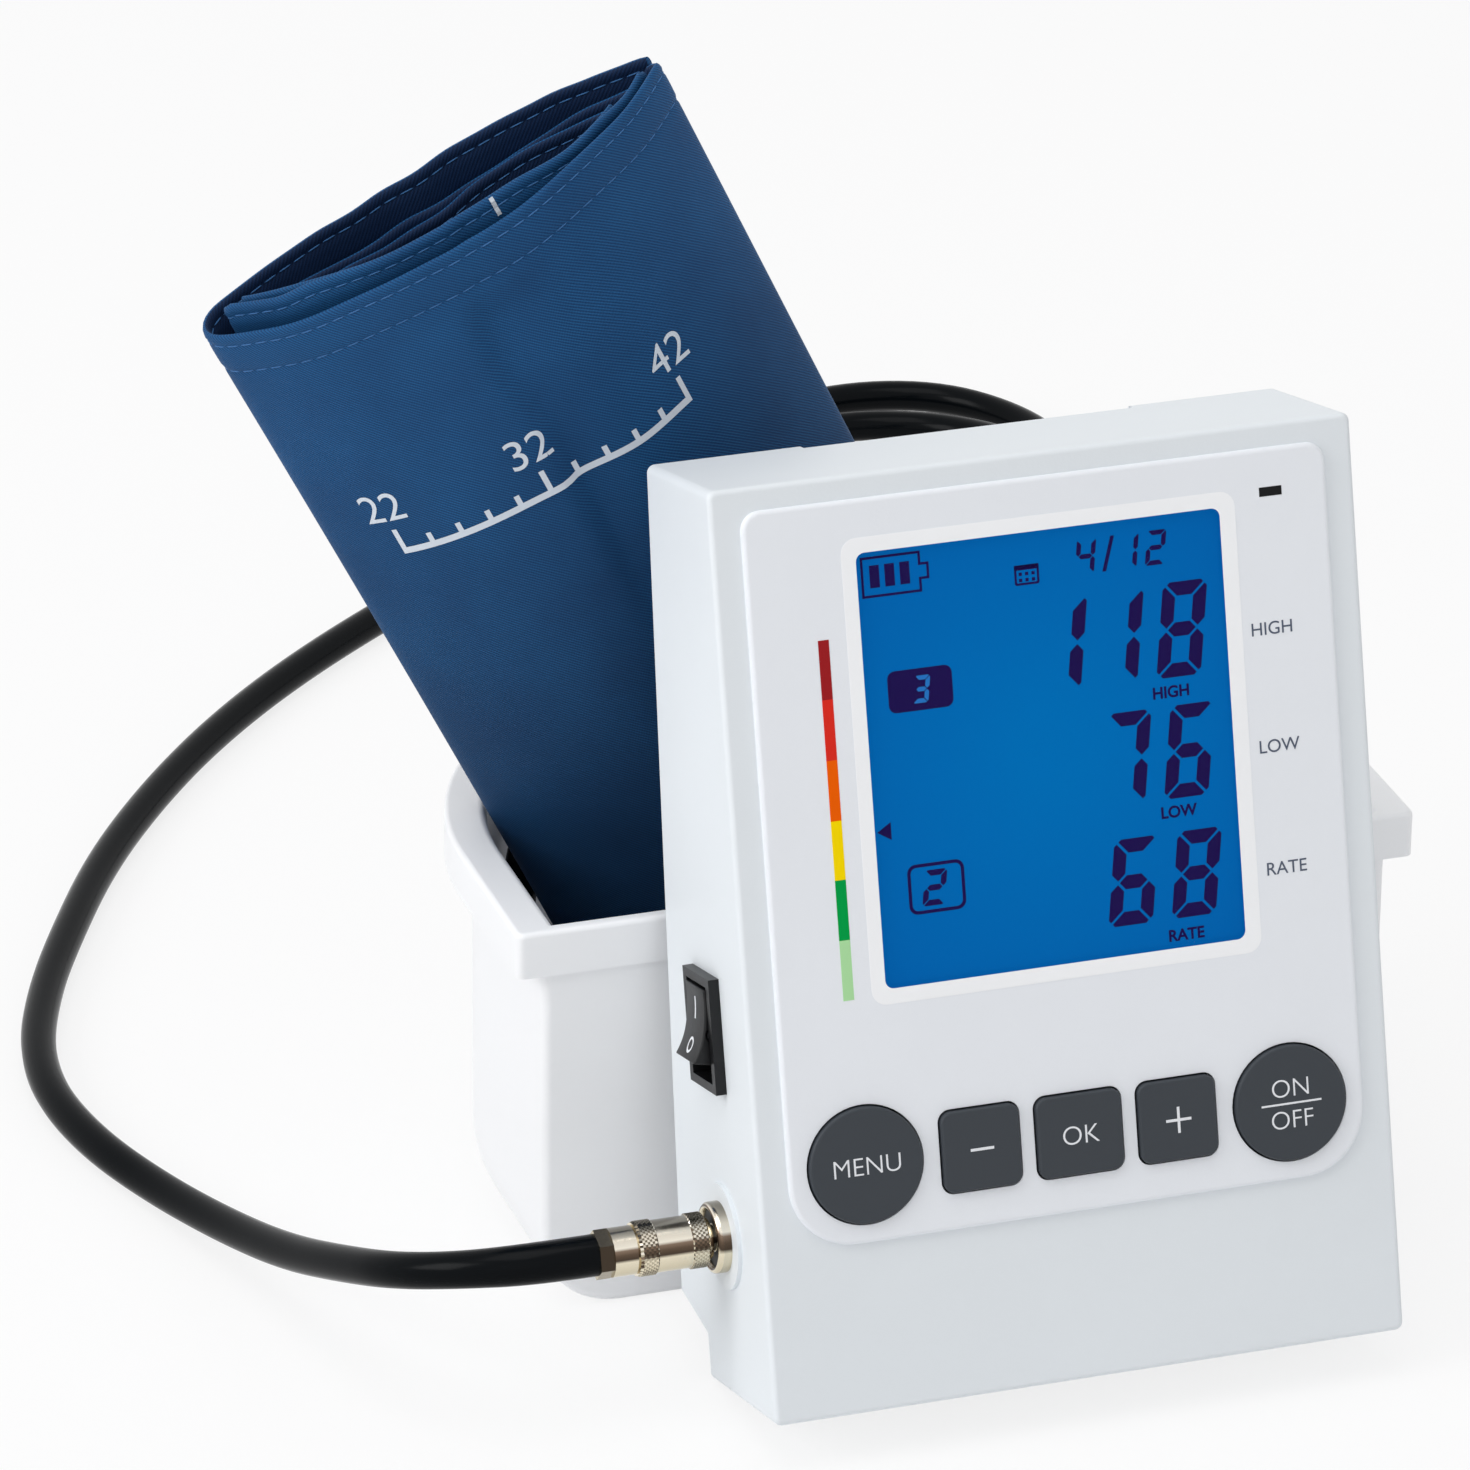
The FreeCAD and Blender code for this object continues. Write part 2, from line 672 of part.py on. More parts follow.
plate = new_body("face_plate")
plate_outline = sketch_on(plate, "XZ_Plane")
rectangle(plate_outline, "0", "(plate_bottom + plate_top)/2", "plate_width", "plate_top - plate_bottom")
grow(plate, "Pad", plate_outline, "plate_thickness")
round_edges(plate, "plate_top_radius",
            lambda edge: along(edge, "y") and near(edge.BoundBox.ZMax, "plate_top"))
round_edges(plate, "plate_bottom_radius",
            lambda edge: along(edge, "y") and near(edge.BoundBox.ZMin, "plate_bottom"))
round_edges(plate, "plate_edge_radius", lambda edge: near(edge.BoundBox.YMax, "0 - plate_thickness"))
plate_holes = sketch_on(plate, "XZ_Plane", "plate_thickness + overrun")
rectangle(plate_holes, "0", "window_rise", "window_width + 2*window_clearance",
          "window_height + 2*window_clearance")
rectangle(plate_holes, "lens_x", "lens_rise", "lens_width + 2*lens_clearance",
          "lens_height + 2*lens_clearance")
button_openings(plate_holes)
grow(plate, "Pocket", plate_holes, "plate_thickness + 2*overrun")
round_openings(plate)
round_edges(plate, "window_radius + window_clearance",
            lambda edge: along(edge, "y")
            and near(abs(edge.BoundBox.XMin), "window_width/2 + window_clearance")
            and near(abs(edge.BoundBox.ZMin - value("window_rise")), "window_height/2 + window_clearance"))
keep("face_plate", plate, MONITOR_POSE)

# Display: clear window in the plate, glass and backlight behind the shell's opening, and the frame round them

window = new_body("display_window")
window_outline = sketch_on(window, "XZ_Plane")
rectangle(window_outline, "0", "window_rise", "window_width", "window_height")
grow(window, "Pad", window_outline, "window_thickness")
round_edges(window, "window_radius", lambda edge: along(edge, "y"))
keep("display_window", window, MONITOR_POSE)

GLASS_WIDTH = "(display_width + 2*display_border)"
GLASS_HEIGHT = "(display_height + 2*display_border)"


def display_layer(name, depth, thickness, margin):
    """Flat layer centred behind the window."""
    width, height = f"({GLASS_WIDTH} + 2*({margin}))", f"({GLASS_HEIGHT} + 2*({margin}))"
    return box(name, (width, thickness, height), (f"0 - {width}/2", depth, f"window_rise - {height}/2"))


keep("lcd_panel", display_layer("lcd_panel", "wall", "glass_thickness", "0"), MONITOR_POSE)
keep("backlight", display_layer("backlight", "wall + glass_thickness", "backlight_thickness", "0"),
     MONITOR_POSE)
frame_block = display_layer("frame_block", "wall", "board_depth - wall", "frame_rim")
frame_hollow = display_layer("frame_hollow", "wall - overrun", "board_depth + 2*overrun", "frame_clearance")
keep("lcd_frame", cut("lcd_frame", frame_block, [frame_hollow]), MONITOR_POSE)

# Main board on the shell's posts, with the tact switches in front of it

board_blank = box("board_blank", ("board_width", "board_thickness", "board_top - board_bottom"),
                  ("0 - board_width/2", "board_depth", "board_bottom"))
board_drills = [rod(f"board_drill_{number}", "screw_radius + screw_clearance", "board_thickness + 2*overrun",
                    (x, "board_depth - overrun", rise), "y")
                for number, (x, rise) in enumerate(BOARD_POSTS)]
keep("main_board", cut("main_board", board_blank, board_drills), MONITOR_POSE)
tacts = [box(f"tact_{name}", ("tact_width", "tact_height", "tact_width"),
             (f"{x} - tact_width/2", "board_depth - tact_height", "button_rise - tact_width/2"))
         for name, x, _ in BUTTONS]
keep("tact_switches", group("tact_switches", tacts), MONITOR_POSE)

# Buttons: each cap passes the plate and the face, a flange keeps it in, and a stem meets its switch

CAP_FRONT = "(plate_thickness + button_proud)"
FLANGE_DEPTH = "(wall + button_clearance)"
STEM_END = "(board_depth - tact_height - button_travel - press_clearance)"
for name, x, width in BUTTONS:
    button = new_body(name)
    cap = sketch_on(button, "XZ_Plane", f"0 - {FLANGE_DEPTH}")
    flange = sketch_on(button, "XZ_Plane", f"0 - {FLANGE_DEPTH} - button_flange_thickness")
    if width is None:
        circle(cap, x, "button_rise", "round_button_radius")
        circle(flange, x, "button_rise", "round_button_radius + button_flange")
    else:
        rectangle(cap, x, "button_rise", width, "square_button_height")
        rectangle(flange, x, "button_rise", f"{width} + 2*button_flange",
                  "square_button_height + 2*button_flange")
    grow(button, "Pad", cap, f"{FLANGE_DEPTH} + {CAP_FRONT}")
    if width is not None:
        round_edges(button, "square_button_radius", lambda edge: along(edge, "y"))
    round_edges(button, "button_edge_radius", lambda edge: near(edge.BoundBox.YMax, f"0 - {CAP_FRONT}"))
    grow(button, "Pad", flange, "button_flange_thickness")
    stem = sketch_on(button, "XZ_Plane", f"0 - {STEM_END}")
    circle(stem, x, "button_rise", "button_stem_radius")
    grow(button, "Pad", stem, f"{STEM_END} - {FLANGE_DEPTH}")
    keep(name, button, MONITOR_POSE)

# Indicator lens: a small dark light pipe through the plate and the face

keep("indicator_lens", box("indicator_lens", ("lens_width", "plate_thickness + wall", "lens_height"),
                           ("lens_x - lens_width/2", "0 - plate_thickness", "lens_rise - lens_height/2")),
     MONITOR_POSE)

# Rocker switch: bezel and body in the side wall, a rocker on a pin across the body, three spade terminals

SWITCH_FACE = f"({LEFT_WALL} - bezel_thickness)"
PIVOT_X = f"({SWITCH_FACE} + rocker_pivot_depth)"
bezel = box("bezel", ("bezel_thickness", "bezel_width", "bezel_length"),
            (SWITCH_FACE, "switch_depth - bezel_width/2", "switch_rise - bezel_length/2"))
switch_body = box("switch_body", ("switch_body_depth", "switch_body_width", "switch_body_length"),
                  (LEFT_WALL, "switch_depth - switch_body_width/2", "switch_rise - switch_body_length/2"))
WELL_LENGTH = "(2*(rocker_end_radius + rocker_clearance))"
WELL_WIDTH = "(rocker_width + 2*rocker_clearance)"
well = box("switch_well", ("rocker_pivot_depth + rocker_end_radius + rocker_clearance + overrun", WELL_WIDTH,
                           WELL_LENGTH),
           (f"{SWITCH_FACE} - overrun", f"switch_depth - {WELL_WIDTH}/2", f"switch_rise - {WELL_LENGTH}/2"))
hollow_housing = cut("hollow_housing", join("housing_block", [bezel, switch_body]), [well])
rocker_pin = rod("rocker_pin", "rocker_pin_radius", f"{WELL_WIDTH} + overrun",
                 (PIVOT_X, f"switch_depth - ({WELL_WIDTH} + overrun)/2", "switch_rise"), "y")
keep("switch_housing", join("switch_housing", [hollow_housing, rocker_pin]), MONITOR_POSE)
terminals = [box(f"terminal_{step}", ("terminal_length", "terminal_width", "terminal_thickness"),
                 (f"{LEFT_WALL} + switch_body_depth", "switch_depth - terminal_width/2",
                  f"switch_rise + ({step})*terminal_pitch - terminal_thickness/2"))
             for step in (-1, 0, 1)]
keep("switch_terminals", group("switch_terminals", terminals), MONITOR_POSE)

rocker = new_body("rocker")
side = sketch_on(rocker, "XZ_Plane")
END_RISE = "sqrt(rocker_end_radius^2 - rocker_half_length^2)"
polygon(side, [(f"0 - {END_RISE}", "rocker_half_length"),
               (f"0 - {END_RISE} + rocker_valley", "0"),
               (f"0 - {END_RISE}", "0 - rocker_lower_reach"),
               ("rocker_pivot_depth", "0 - rocker_lower_reach"),
               ("rocker_keel", "0 - rocker_half_length/2"),
               ("rocker_keel", "rocker_half_length/2"),
               ("rocker_pivot_depth", "rocker_end_radius*cos(rocker_rest_angle)")])
grow(rocker, "Pad", side, "rocker_width", symmetric=True)
pin_hole = sketch_on(rocker, "XZ_Plane")
circle(pin_hole, "0", "0", "rocker_pin_radius + rocker_pin_clearance")
grow(rocker, "Pocket", pin_hole, "rocker_width + 2*overrun", symmetric=True)
ROCKER_POSE = MONITOR_POSE * FreeCAD.Placement(
    vector((PIVOT_X, "switch_depth", "switch_rise")),
    FreeCAD.Rotation(FreeCAD.Vector(0, 1, 0), value("rocker_rest_angle")))
keep("rocker", rocker, ROCKER_POSE)

# Air socket: flanged fitting through the side wall, held by a nut inside, with a nipple for the coupler

PAD_FACE = f"({LEFT_WALL} - pad_thickness)"
FLANGE_FACE = f"({PAD_FACE} - socket_flange_thickness)"
AXIS_AT = ("socket_depth", "socket_rise")
SOCKET_END = f"({LEFT_WALL} + socket_inside_length)"
socket_block = join("socket_block", [
    rod("socket_flange", "socket_flange_radius", "socket_flange_thickness", (PAD_FACE,) + AXIS_AT, "-x"),
    rod("socket_body", "socket_body_radius", "socket_inside_length + pad_thickness", (PAD_FACE,) + AXIS_AT,
        "x"),
    rod("socket_nipple", "nipple_radius", "nipple_length", (FLANGE_FACE,) + AXIS_AT, "-x")])
SOCKET_LENGTH = "(nipple_length + socket_flange_thickness + pad_thickness + socket_inside_length)"
socket_bore = rod("socket_bore", "socket_bore_radius", f"{SOCKET_LENGTH} + 2*overrun",
                  (f"{SOCKET_END} + overrun",) + AXIS_AT, "-x")
keep("hose_socket", cut("hose_socket", socket_block, [socket_bore]), MONITOR_POSE)
nut_start = (f"{LEFT_WALL} + wall",) + AXIS_AT
keep("socket_nut", tube("socket_nut", "socket_nut_radius", "socket_body_radius + socket_clearance",
                        "socket_nut_thickness", nut_start, "x"), MONITOR_POSE)

# Hose coupler: a barrel with a sprung release collar in front of it and a hex nut that clamps the hose

COLLAR_START = f"({FLANGE_FACE} - coupler_gap)"
COLLAR_END = f"({COLLAR_START} - collar_length)"
BARREL_START = f"({COLLAR_END} - barrel_gap)"
BARREL_END = f"({BARREL_START} - barrel_length)"
NUT_END = f"({BARREL_END} - hex_nut_length)"
coupler_block = join("coupler_block", [
    rod("coupler_spigot", "coupler_body_radius", "coupler_gap/2 + collar_length + barrel_gap",
        (f"{COLLAR_START} + coupler_gap/2",) + AXIS_AT, "-x"),
    rod("coupler_barrel", "barrel_radius", "barrel_length", (BARREL_START,) + AXIS_AT, "-x")])
coupler_bore = rod("coupler_bore", "nipple_radius + coupler_bore_clearance", "nipple_length + overrun",
                   (f"{FLANGE_FACE}",) + AXIS_AT, "-x")
keep("coupler_body", cut("coupler_body", coupler_block, [coupler_bore]), MONITOR_POSE)
collar_block = join("collar_block", [
    rod("collar_sleeve", "collar_radius", "collar_length", (COLLAR_START,) + AXIS_AT, "-x"),
    rod("collar_ring_front", "collar_ring_radius", "collar_ring_length", (COLLAR_START,) + AXIS_AT, "-x"),
    rod("collar_ring_back", "collar_ring_radius", "collar_ring_length", (COLLAR_END,) + AXIS_AT, "x")])
collar_bore = rod("collar_bore", "coupler_body_radius + collar_clearance", "collar_length + 2*overrun",
                  (f"{COLLAR_START} + overrun",) + AXIS_AT, "-x")
keep("release_collar", cut("release_collar", collar_block, [collar_bore]), MONITOR_POSE)
hex_nut = doc.addObject("Part::Prism", "coupler_nut")
hex_nut.Polygon = 6
hex_nut.setExpression("Circumradius", bound("hex_nut_radius"))
hex_nut.setExpression("Height", bound("hex_nut_length"))
hex_nut.Placement.Rotation = FreeCAD.Rotation(*TURNS["-x"])
for letter, text in zip("xyz", (BARREL_END,) + AXIS_AT):
    hex_nut.setExpression("Placement.Base." + letter, bound(text))
keep("coupler_nut", hex_nut, MONITOR_POSE)

# Air path inside, all on the socket's axis: a tube, the manifold, a second tube and the pump on its cradle

TUBE_END = f"({SOCKET_END} + tube_length)"
MANIFOLD_END = f"({TUBE_END} + manifold_width)"
PUMP_START = f"({MANIFOLD_END} + tube_length)"
MOTOR_START = f"({PUMP_START} + pump_head_length)"
MANIFOLD_TOP = "(socket_rise + manifold_height/2)"
SENSOR_X = f"({TUBE_END} + manifold_width/2)"
SENSOR_BOTTOM = f"({MANIFOLD_TOP} + tube_length)"
SENSOR_DEPTH = f"({BOARD_BACK} + sensor_thickness/2)"
air_tubes = [tube("socket_tube", "tube_radius", "tube_bore_radius", "tube_length", (SOCKET_END,) + AXIS_AT,
                  "x"),
             tube("pump_tube", "tube_radius", "tube_bore_radius", "tube_length", (MANIFOLD_END,) + AXIS_AT,
                  "x"),
             tube("sensor_tube", "sensor_thickness/2", "tube_bore_radius", "tube_length",
                  (SENSOR_X, SENSOR_DEPTH, MANIFOLD_TOP), "z")]
keep("air_tubes", group("air_tubes", air_tubes), MONITOR_POSE)
MANIFOLD_BACK = "(2*socket_depth - board_depth - board_thickness)"
manifold_block = box("manifold_block",
                     ("manifold_width", f"{MANIFOLD_BACK} - {BOARD_BACK}", "manifold_height"),
                     (TUBE_END, BOARD_BACK, "socket_rise - manifold_height/2"))
manifold_bore = rod("manifold_bore", "tube_bore_radius", "manifold_width + 2*overrun",
                    (f"{TUBE_END} - overrun",) + AXIS_AT, "x")
keep("air_manifold", cut("air_manifold", manifold_block, [manifold_bore]), MONITOR_POSE)
keep("pressure_sensor", box("pressure_sensor", ("sensor_width", "sensor_thickness", "sensor_height"),
                            (f"{SENSOR_X} - sensor_width/2", BOARD_BACK, SENSOR_BOTTOM)), MONITOR_POSE)
keep("release_valve", rod("release_valve", "valve_radius", "valve_length",
                          (SENSOR_X, MANIFOLD_BACK, "socket_rise"), "y"), MONITOR_POSE)
keep("pump_head", rod("pump_head", "pump_radius", "pump_head_length", (PUMP_START,) + AXIS_AT, "x"),
     MONITOR_POSE)
keep("pump_motor", rod("pump_motor", "motor_radius", "motor_length", (MOTOR_START,) + AXIS_AT, "x"),
     MONITOR_POSE)
cradle_block = box("cradle_block", ("pump_head_length", "2*(pump_radius + cradle_clearance)",
                                    f"socket_rise - {INNER_BOTTOM}"),
                   (PUMP_START, "socket_depth - pump_radius - cradle_clearance", INNER_BOTTOM))
cradle_seat = rod("cradle_seat", "pump_radius + cradle_clearance", "pump_head_length + 2*overrun",
                  (f"{PUMP_START} - overrun",) + AXIS_AT, "x")
keep("pump_cradle", cut("pump_cradle", cradle_block, [cradle_seat]), MONITOR_POSE)

# Adapter jack in the right side wall

JACK_FACE = f"({HALF_FACE} - wall)"
jack_block = join("jack_block", [
    box("jack_case", ("jack_length", "jack_width", "jack_width"),
        (f"{JACK_FACE} - jack_length", "socket_depth - jack_width/2", "socket_rise - jack_width/2")),
    rod("jack_sleeve", "jack_radius", "wall + overrun", (f"{JACK_FACE} - overrun",) + AXIS_AT, "x")])
jack_bore = rod("jack_bore", "jack_bore_radius", "jack_length", (f"{HALF_FACE} + overrun",) + AXIS_AT, "-x")
keep("dc_jack", cut("dc_jack", jack_block, [jack_bore]), MONITOR_POSE)

# Battery tray behind the board, with four cells, their end contacts and the sliding door in the cover

CELL_PITCH = "(2*cell_radius + cell_gap)"
TRAY_INNER_WIDTH = f"(4*{CELL_PITCH} + cell_gap)"
TRAY_INNER_HEIGHT = "(cell_length + 2*contact_gap)"
TRAY_TOP = f"(tray_bottom + {TRAY_INNER_HEIGHT} + 2*tray_wall)"
CELL_BOTTOM = "(tray_bottom + tray_wall + contact_gap)"
TRAY_FRONT = f"({BOARD_BACK} + screw_head_height + press_clearance)"
CELL_DEPTH = f"({TRAY_FRONT} + tray_wall + cell_radius + cell_gap)"


def tray_back(rise):
    """Depth just in front of the battery door at a rise."""
    return f"{back_depth(rise)} - wall - door_rail_thickness - 2*door_clearance"


tray = new_body("battery_tray")
tray_side = sketch_on(tray, "YZ_Plane")
polygon(tray_side, [(TRAY_FRONT, "tray_bottom"), (tray_back("tray_bottom"), "tray_bottom"),
                    (tray_back(TRAY_TOP), TRAY_TOP), (TRAY_FRONT, TRAY_TOP)])
grow(tray, "Pad", tray_side, f"{TRAY_INNER_WIDTH} + 2*tray_wall", symmetric=True)
tray_well = sketch_on(tray, "XZ_Plane", f"0 - {TRAY_FRONT} - tray_wall")
rectangle(tray_well, "0", f"(tray_bottom + {TRAY_TOP})/2", TRAY_INNER_WIDTH, TRAY_INNER_HEIGHT)
grow(tray, "Pocket", tray_well, "back_bottom_depth")
keep("battery_tray", tray, MONITOR_POSE)
CELL_PLACES = [f"({step})*{CELL_PITCH}" for step in (-1.5, -0.5, 0.5, 1.5)]
cells = [rod(f"cell_{number}", "cell_radius", "cell_length", (x, CELL_DEPTH, CELL_BOTTOM), "z")
         for number, x in enumerate(CELL_PLACES)]
keep("battery_cells", group("battery_cells", cells), MONITOR_POSE)
contacts = [box(f"contact_{number}_{end}",
                ("contact_width", "contact_width", "contact_gap - press_clearance"),
                (f"{x} - contact_width/2", f"{CELL_DEPTH} - contact_width/2", rise))
            for number, x in enumerate(CELL_PLACES)
            for end, rise in (("low", "tray_bottom + tray_wall"),
                              ("high", f"{CELL_BOTTOM} + cell_length + press_clearance"))]
keep("battery_contacts", group("battery_contacts", contacts), MONITOR_POSE)

door = new_body("battery_door")
DOOR_LOW = "(door_bottom + door_clearance)"
door_side = sketch_on(door, "YZ_Plane")
polygon(door_side, [(f"{back_depth(DOOR_LOW)} - door_thickness", DOOR_LOW), (back_depth(DOOR_LOW), DOOR_LOW),
                    (back_depth("door_top"), "door_top"),
                    (f"{back_depth('door_top')} - door_thickness", "door_top")])
grow(door, "Pad", door_side, "door_width", symmetric=True)


def door_layer(near_depth, far_depth, width):
    """Layer behind the door's slab, up to the top of its rails."""
    layer = sketch_on(door, "YZ_Plane")
    polygon(layer, [(f"{back_depth(DOOR_LOW)} - {far_depth}", DOOR_LOW),
                    (f"{back_depth(DOOR_LOW)} - {near_depth}", DOOR_LOW),
                    (f"{back_depth('door_rail_top')} - {near_depth}", "door_rail_top"),
                    (f"{back_depth('door_rail_top')} - {far_depth}", "door_rail_top")])
    grow(door, "Pad", layer, width, symmetric=True)


RAIL_NEAR = "(wall + door_clearance)"
RAIL_FAR = "(wall + door_clearance + door_rail_thickness)"
door_layer("door_thickness/2", RAIL_FAR, "door_width")
door_layer(RAIL_NEAR, RAIL_FAR, "door_width + 2*door_rail")
grip = sketch_on(door, "YZ_Plane")
for step in (1, 2, 3, 4):
    rise = f"({DOOR_LOW} + ({step})*door_grip_pitch)"
    polygon(grip, [(f"{back_depth(rise)} - door_grip_depth", rise), (f"{back_depth(rise)} + overrun", rise),
                   (f"{back_depth(rise)} + overrun", f"{rise} + door_grip_height"),
                   (f"{back_depth(rise)} - door_grip_depth", f"{rise} + door_grip_height")])
grow(door, "Pocket", grip, "door_width/2", symmetric=True)
keep("battery_door", door, MONITOR_POSE)

# Bracket: a wedge that fills the space between the leaning back and the basket's upright front

BASKET_FRONT_DEPTH = f"({SETBACK} + {BASKET_FRONT})"


def upright_depth(rise):
    """Depth of the basket's upright front at a rise of the leaning monitor."""
    return f"(({BASKET_FRONT_DEPTH} - ({rise})*sin(lean_angle))/cos(lean_angle))"


BRACKET_SCREWS = [(f"{side}(bracket_screw_pitch/2)", height)
                  for side in ("", "0 - ")
                  for height in ("bracket_screw_low", "bracket_screw_high")]
bracket = new_body("basket_bracket")
wedge = sketch_on(bracket, "YZ_Plane")
polygon(wedge, [(back_depth("bracket_bottom_rise"), "bracket_bottom_rise"),
                (upright_depth("bracket_bottom_rise"), "bracket_bottom_rise"),
                (upright_depth("bracket_top_rise"), "bracket_top_rise"),
                (back_depth("bracket_top_rise"), "bracket_top_rise")])
grow(bracket, "Pad", wedge, "bracket_width", symmetric=True)
doc.recompute()
leaning_wedge = doc.addObject("Part::Feature", "leaning_wedge")
leaning_wedge.Shape = bracket.Shape.copy()
leaning_wedge.Placement = MONITOR_POSE
bracket_drills = [rod(f"bracket_drill_{number}", "bracket_screw_radius + screw_clearance",
                      "bracket_screw_bite + overrun", (x, BASKET_FRONT, height), "-y")
                  for number, (x, height) in enumerate(BRACKET_SCREWS)]
bracket_drills += [bolt_bar(f"bolt_drill_{number}", "bracket_screw_radius + screw_clearance",
                            "bracket_screw_bite + 2*overrun", x, "overrun", MONITOR_POSE)
                   for number, x in enumerate(BOLTS)]
keep("basket_bracket", cut("basket_bracket_drilled", leaning_wedge, bracket_drills), BASKET_POSE)
bolts = [join(f"bracket_bolt_{number}", [
    bolt_bar(f"bolt_shank_{number}", "bracket_screw_radius", f"{BACK_WALL} + bracket_screw_bite", x,
             BACK_WALL, FreeCAD.Placement()),
    bolt_bar(f"bolt_head_{number}", "bracket_head_radius", "bracket_head_height", x,
             f"{BACK_WALL} + bracket_head_height", FreeCAD.Placement())])
         for number, x in enumerate(BOLTS)]
keep("bracket_bolts", group("bracket_bolts", bolts), MONITOR_POSE)

# Basket: an open D-shaped bin with a stepped lip and a rounded lower edge

basket = new_body("basket")
HALF_BASKET = "(basket_width/2)"
wall_outline = sketch_on(basket, "XY_Plane")
dee(wall_outline, HALF_BASKET, BASKET_FRONT, BASKET_BACK, "basket_corner_radius")
grow(basket, "Pad", wall_outline, "basket_height")
lip_outline = sketch_on(basket, "XY_Plane", "basket_height - lip_height")
dee(lip_outline, f"({HALF_BASKET} + lip_overhang)", f"({BASKET_FRONT} - lip_front_overhang)",
    f"({BASKET_BACK} + lip_overhang)", "(basket_corner_radius + lip_overhang)")
grow(basket, "Pad", lip_outline, "lip_height")
round_edges(basket, "front_corner_radius",
            lambda edge: along(edge, "z") and near(edge.BoundBox.YMin, f"{BASKET_FRONT} - lip_front_overhang"))
round_edges(basket, "lip_edge_radius", lambda edge: near(edge.BoundBox.ZMin, "basket_height"))
basket_well = sketch_on(basket, "XY_Plane", "basket_height")
dee(basket_well, f"({HALF_BASKET} - basket_wall)", f"({BASKET_FRONT} + basket_wall)",
    f"({BASKET_BACK} - basket_wall)", "(basket_corner_radius - basket_wall)")
grow(basket, "Pocket", basket_well, "basket_height - basket_floor")
round_edges(basket, "basket_bottom_radius - basket_wall",
            lambda edge: near(edge.BoundBox.ZMin, "basket_floor") and near(edge.BoundBox.ZMax, "basket_floor")
            and beyond(edge.BoundBox.YMax, f"{BASKET_FRONT} + basket_wall"))
round_edges(basket, "lip_inner_radius",
            lambda edge: near(edge.BoundBox.ZMin, "basket_height")
            and not beyond(edge.BoundBox.XMax, f"{HALF_BASKET} - basket_wall")
            and not beyond(0 - edge.BoundBox.XMin, f"{HALF_BASKET} - basket_wall")
            and not beyond(0 - edge.BoundBox.YMin, f"0 - {BASKET_FRONT} - basket_wall"))
round_edges(basket, "basket_bottom_radius",
            lambda edge: near(edge.BoundBox.ZMax, "0") and beyond(edge.BoundBox.YMax, BASKET_FRONT))
round_edges(basket, "front_corner_radius",
            lambda edge: along(edge, "z") and near(edge.BoundBox.YMin, BASKET_FRONT))
basket_drills = sketch_on(basket, "XZ_Plane", f"0 - {BASKET_FRONT} + overrun")
for x, height in BRACKET_SCREWS:
    circle(basket_drills, x, height, "bracket_screw_radius + screw_clearance")
grow(basket, "Pocket", basket_drills, "basket_wall + 2*overrun")
keep("basket", basket, BASKET_POSE)
keep("bracket_screws", screws("bracket_screws", BRACKET_SCREWS, f"({BASKET_FRONT} + basket_wall)",
                              "basket_wall + bracket_screw_bite", "bracket_head_radius",
                              "bracket_head_height", "bracket_screw_radius", "-y"), BASKET_POSE)

# Rolled cuff: one flat band wound about three turns into a lens-shaped roll, standing askew in the basket


ROLL_ARCS = 11
inner_end_share = 0.92


def roll_path(offset):
    """Tangent arcs of the roll from its outer end inwards, shifted off the band's middle by an offset."""
    fold = value("fold_radius")
    front_half = math.asin(value("fold_offset") / (value("front_bulge_radius") - fold))
    back_half = math.asin(value("fold_offset") / (value("back_bulge_radius") - fold))
    fold_sweep = math.pi - front_half - back_half
    # The radius shrinks at each change of arc, in shares that keep the turns evenly apart
    back_share = math.cos(front_half) / (2 * (math.cos(front_half) + math.cos(back_half)))
    front_share = 0.5 - back_share
    sides = [("back_bulge_radius", 2 * back_half, back_share), ("fold_radius", fold_sweep, back_share),
             ("front_bulge_radius", 2 * front_half, front_share), ("fold_radius", fold_sweep, front_share)]
    point = FreeCAD.Vector(0, 0, 0)
    heading = math.pi - back_half
    shrink = -value("band_pitch") * back_share
    arcs = []
    for quarter in range(ROLL_ARCS):
        radius_name, sweep, share = sides[quarter % len(sides)]
        if quarter == ROLL_ARCS - 1:
            sweep *= inner_end_share
        shrink += value("band_pitch") * share
        radius = value(radius_name) - shrink
        centre = point + FreeCAD.Vector(-math.sin(heading), math.cos(heading), 0) * radius
        angles = [heading - math.pi / 2 + sweep * step / 2 for step in (0, 1, 2)]
        arcs.append([centre + FreeCAD.Vector(math.cos(angle), math.sin(angle), 0) * (radius + offset)
                     for angle in angles])
        point = centre + FreeCAD.Vector(math.cos(angles[2]), math.sin(angles[2]), 0) * radius
        heading += sweep
    return arcs


outer_arcs = roll_path(value("band_thickness/2"))
inner_arcs = roll_path(-value("band_thickness/2"))
roll_edges = [Part.Arc(*arc).toShape() for arc in outer_arcs]
roll_edges.append(Part.LineSegment(outer_arcs[-1][2], inner_arcs[-1][2]).toShape())
roll_edges.extend(Part.Arc(*reversed(arc)).toShape() for arc in reversed(inner_arcs))
roll_edges.append(Part.LineSegment(inner_arcs[0][0], outer_arcs[0][0]).toShape())
roll_face = Part.Face(Part.Wire(roll_edges))
front_bulge = outer_arcs[2][1]
roll_shift = FreeCAD.Vector(-roll_face.BoundBox.XMin, -front_bulge.y, 0)
roll_face.translate(roll_shift)
CUFF_POSE = FreeCAD.Placement(
    vector(("cuff_left", f"{BASKET_FRONT} + basket_wall + cuff_front_gap", "basket_floor + cuff_floor_gap")),
    FreeCAD.Rotation(FreeCAD.Vector(0, 1, 0), -value("cuff_lean")))
cuff = doc.addObject("Part::Feature", "cuff_band")
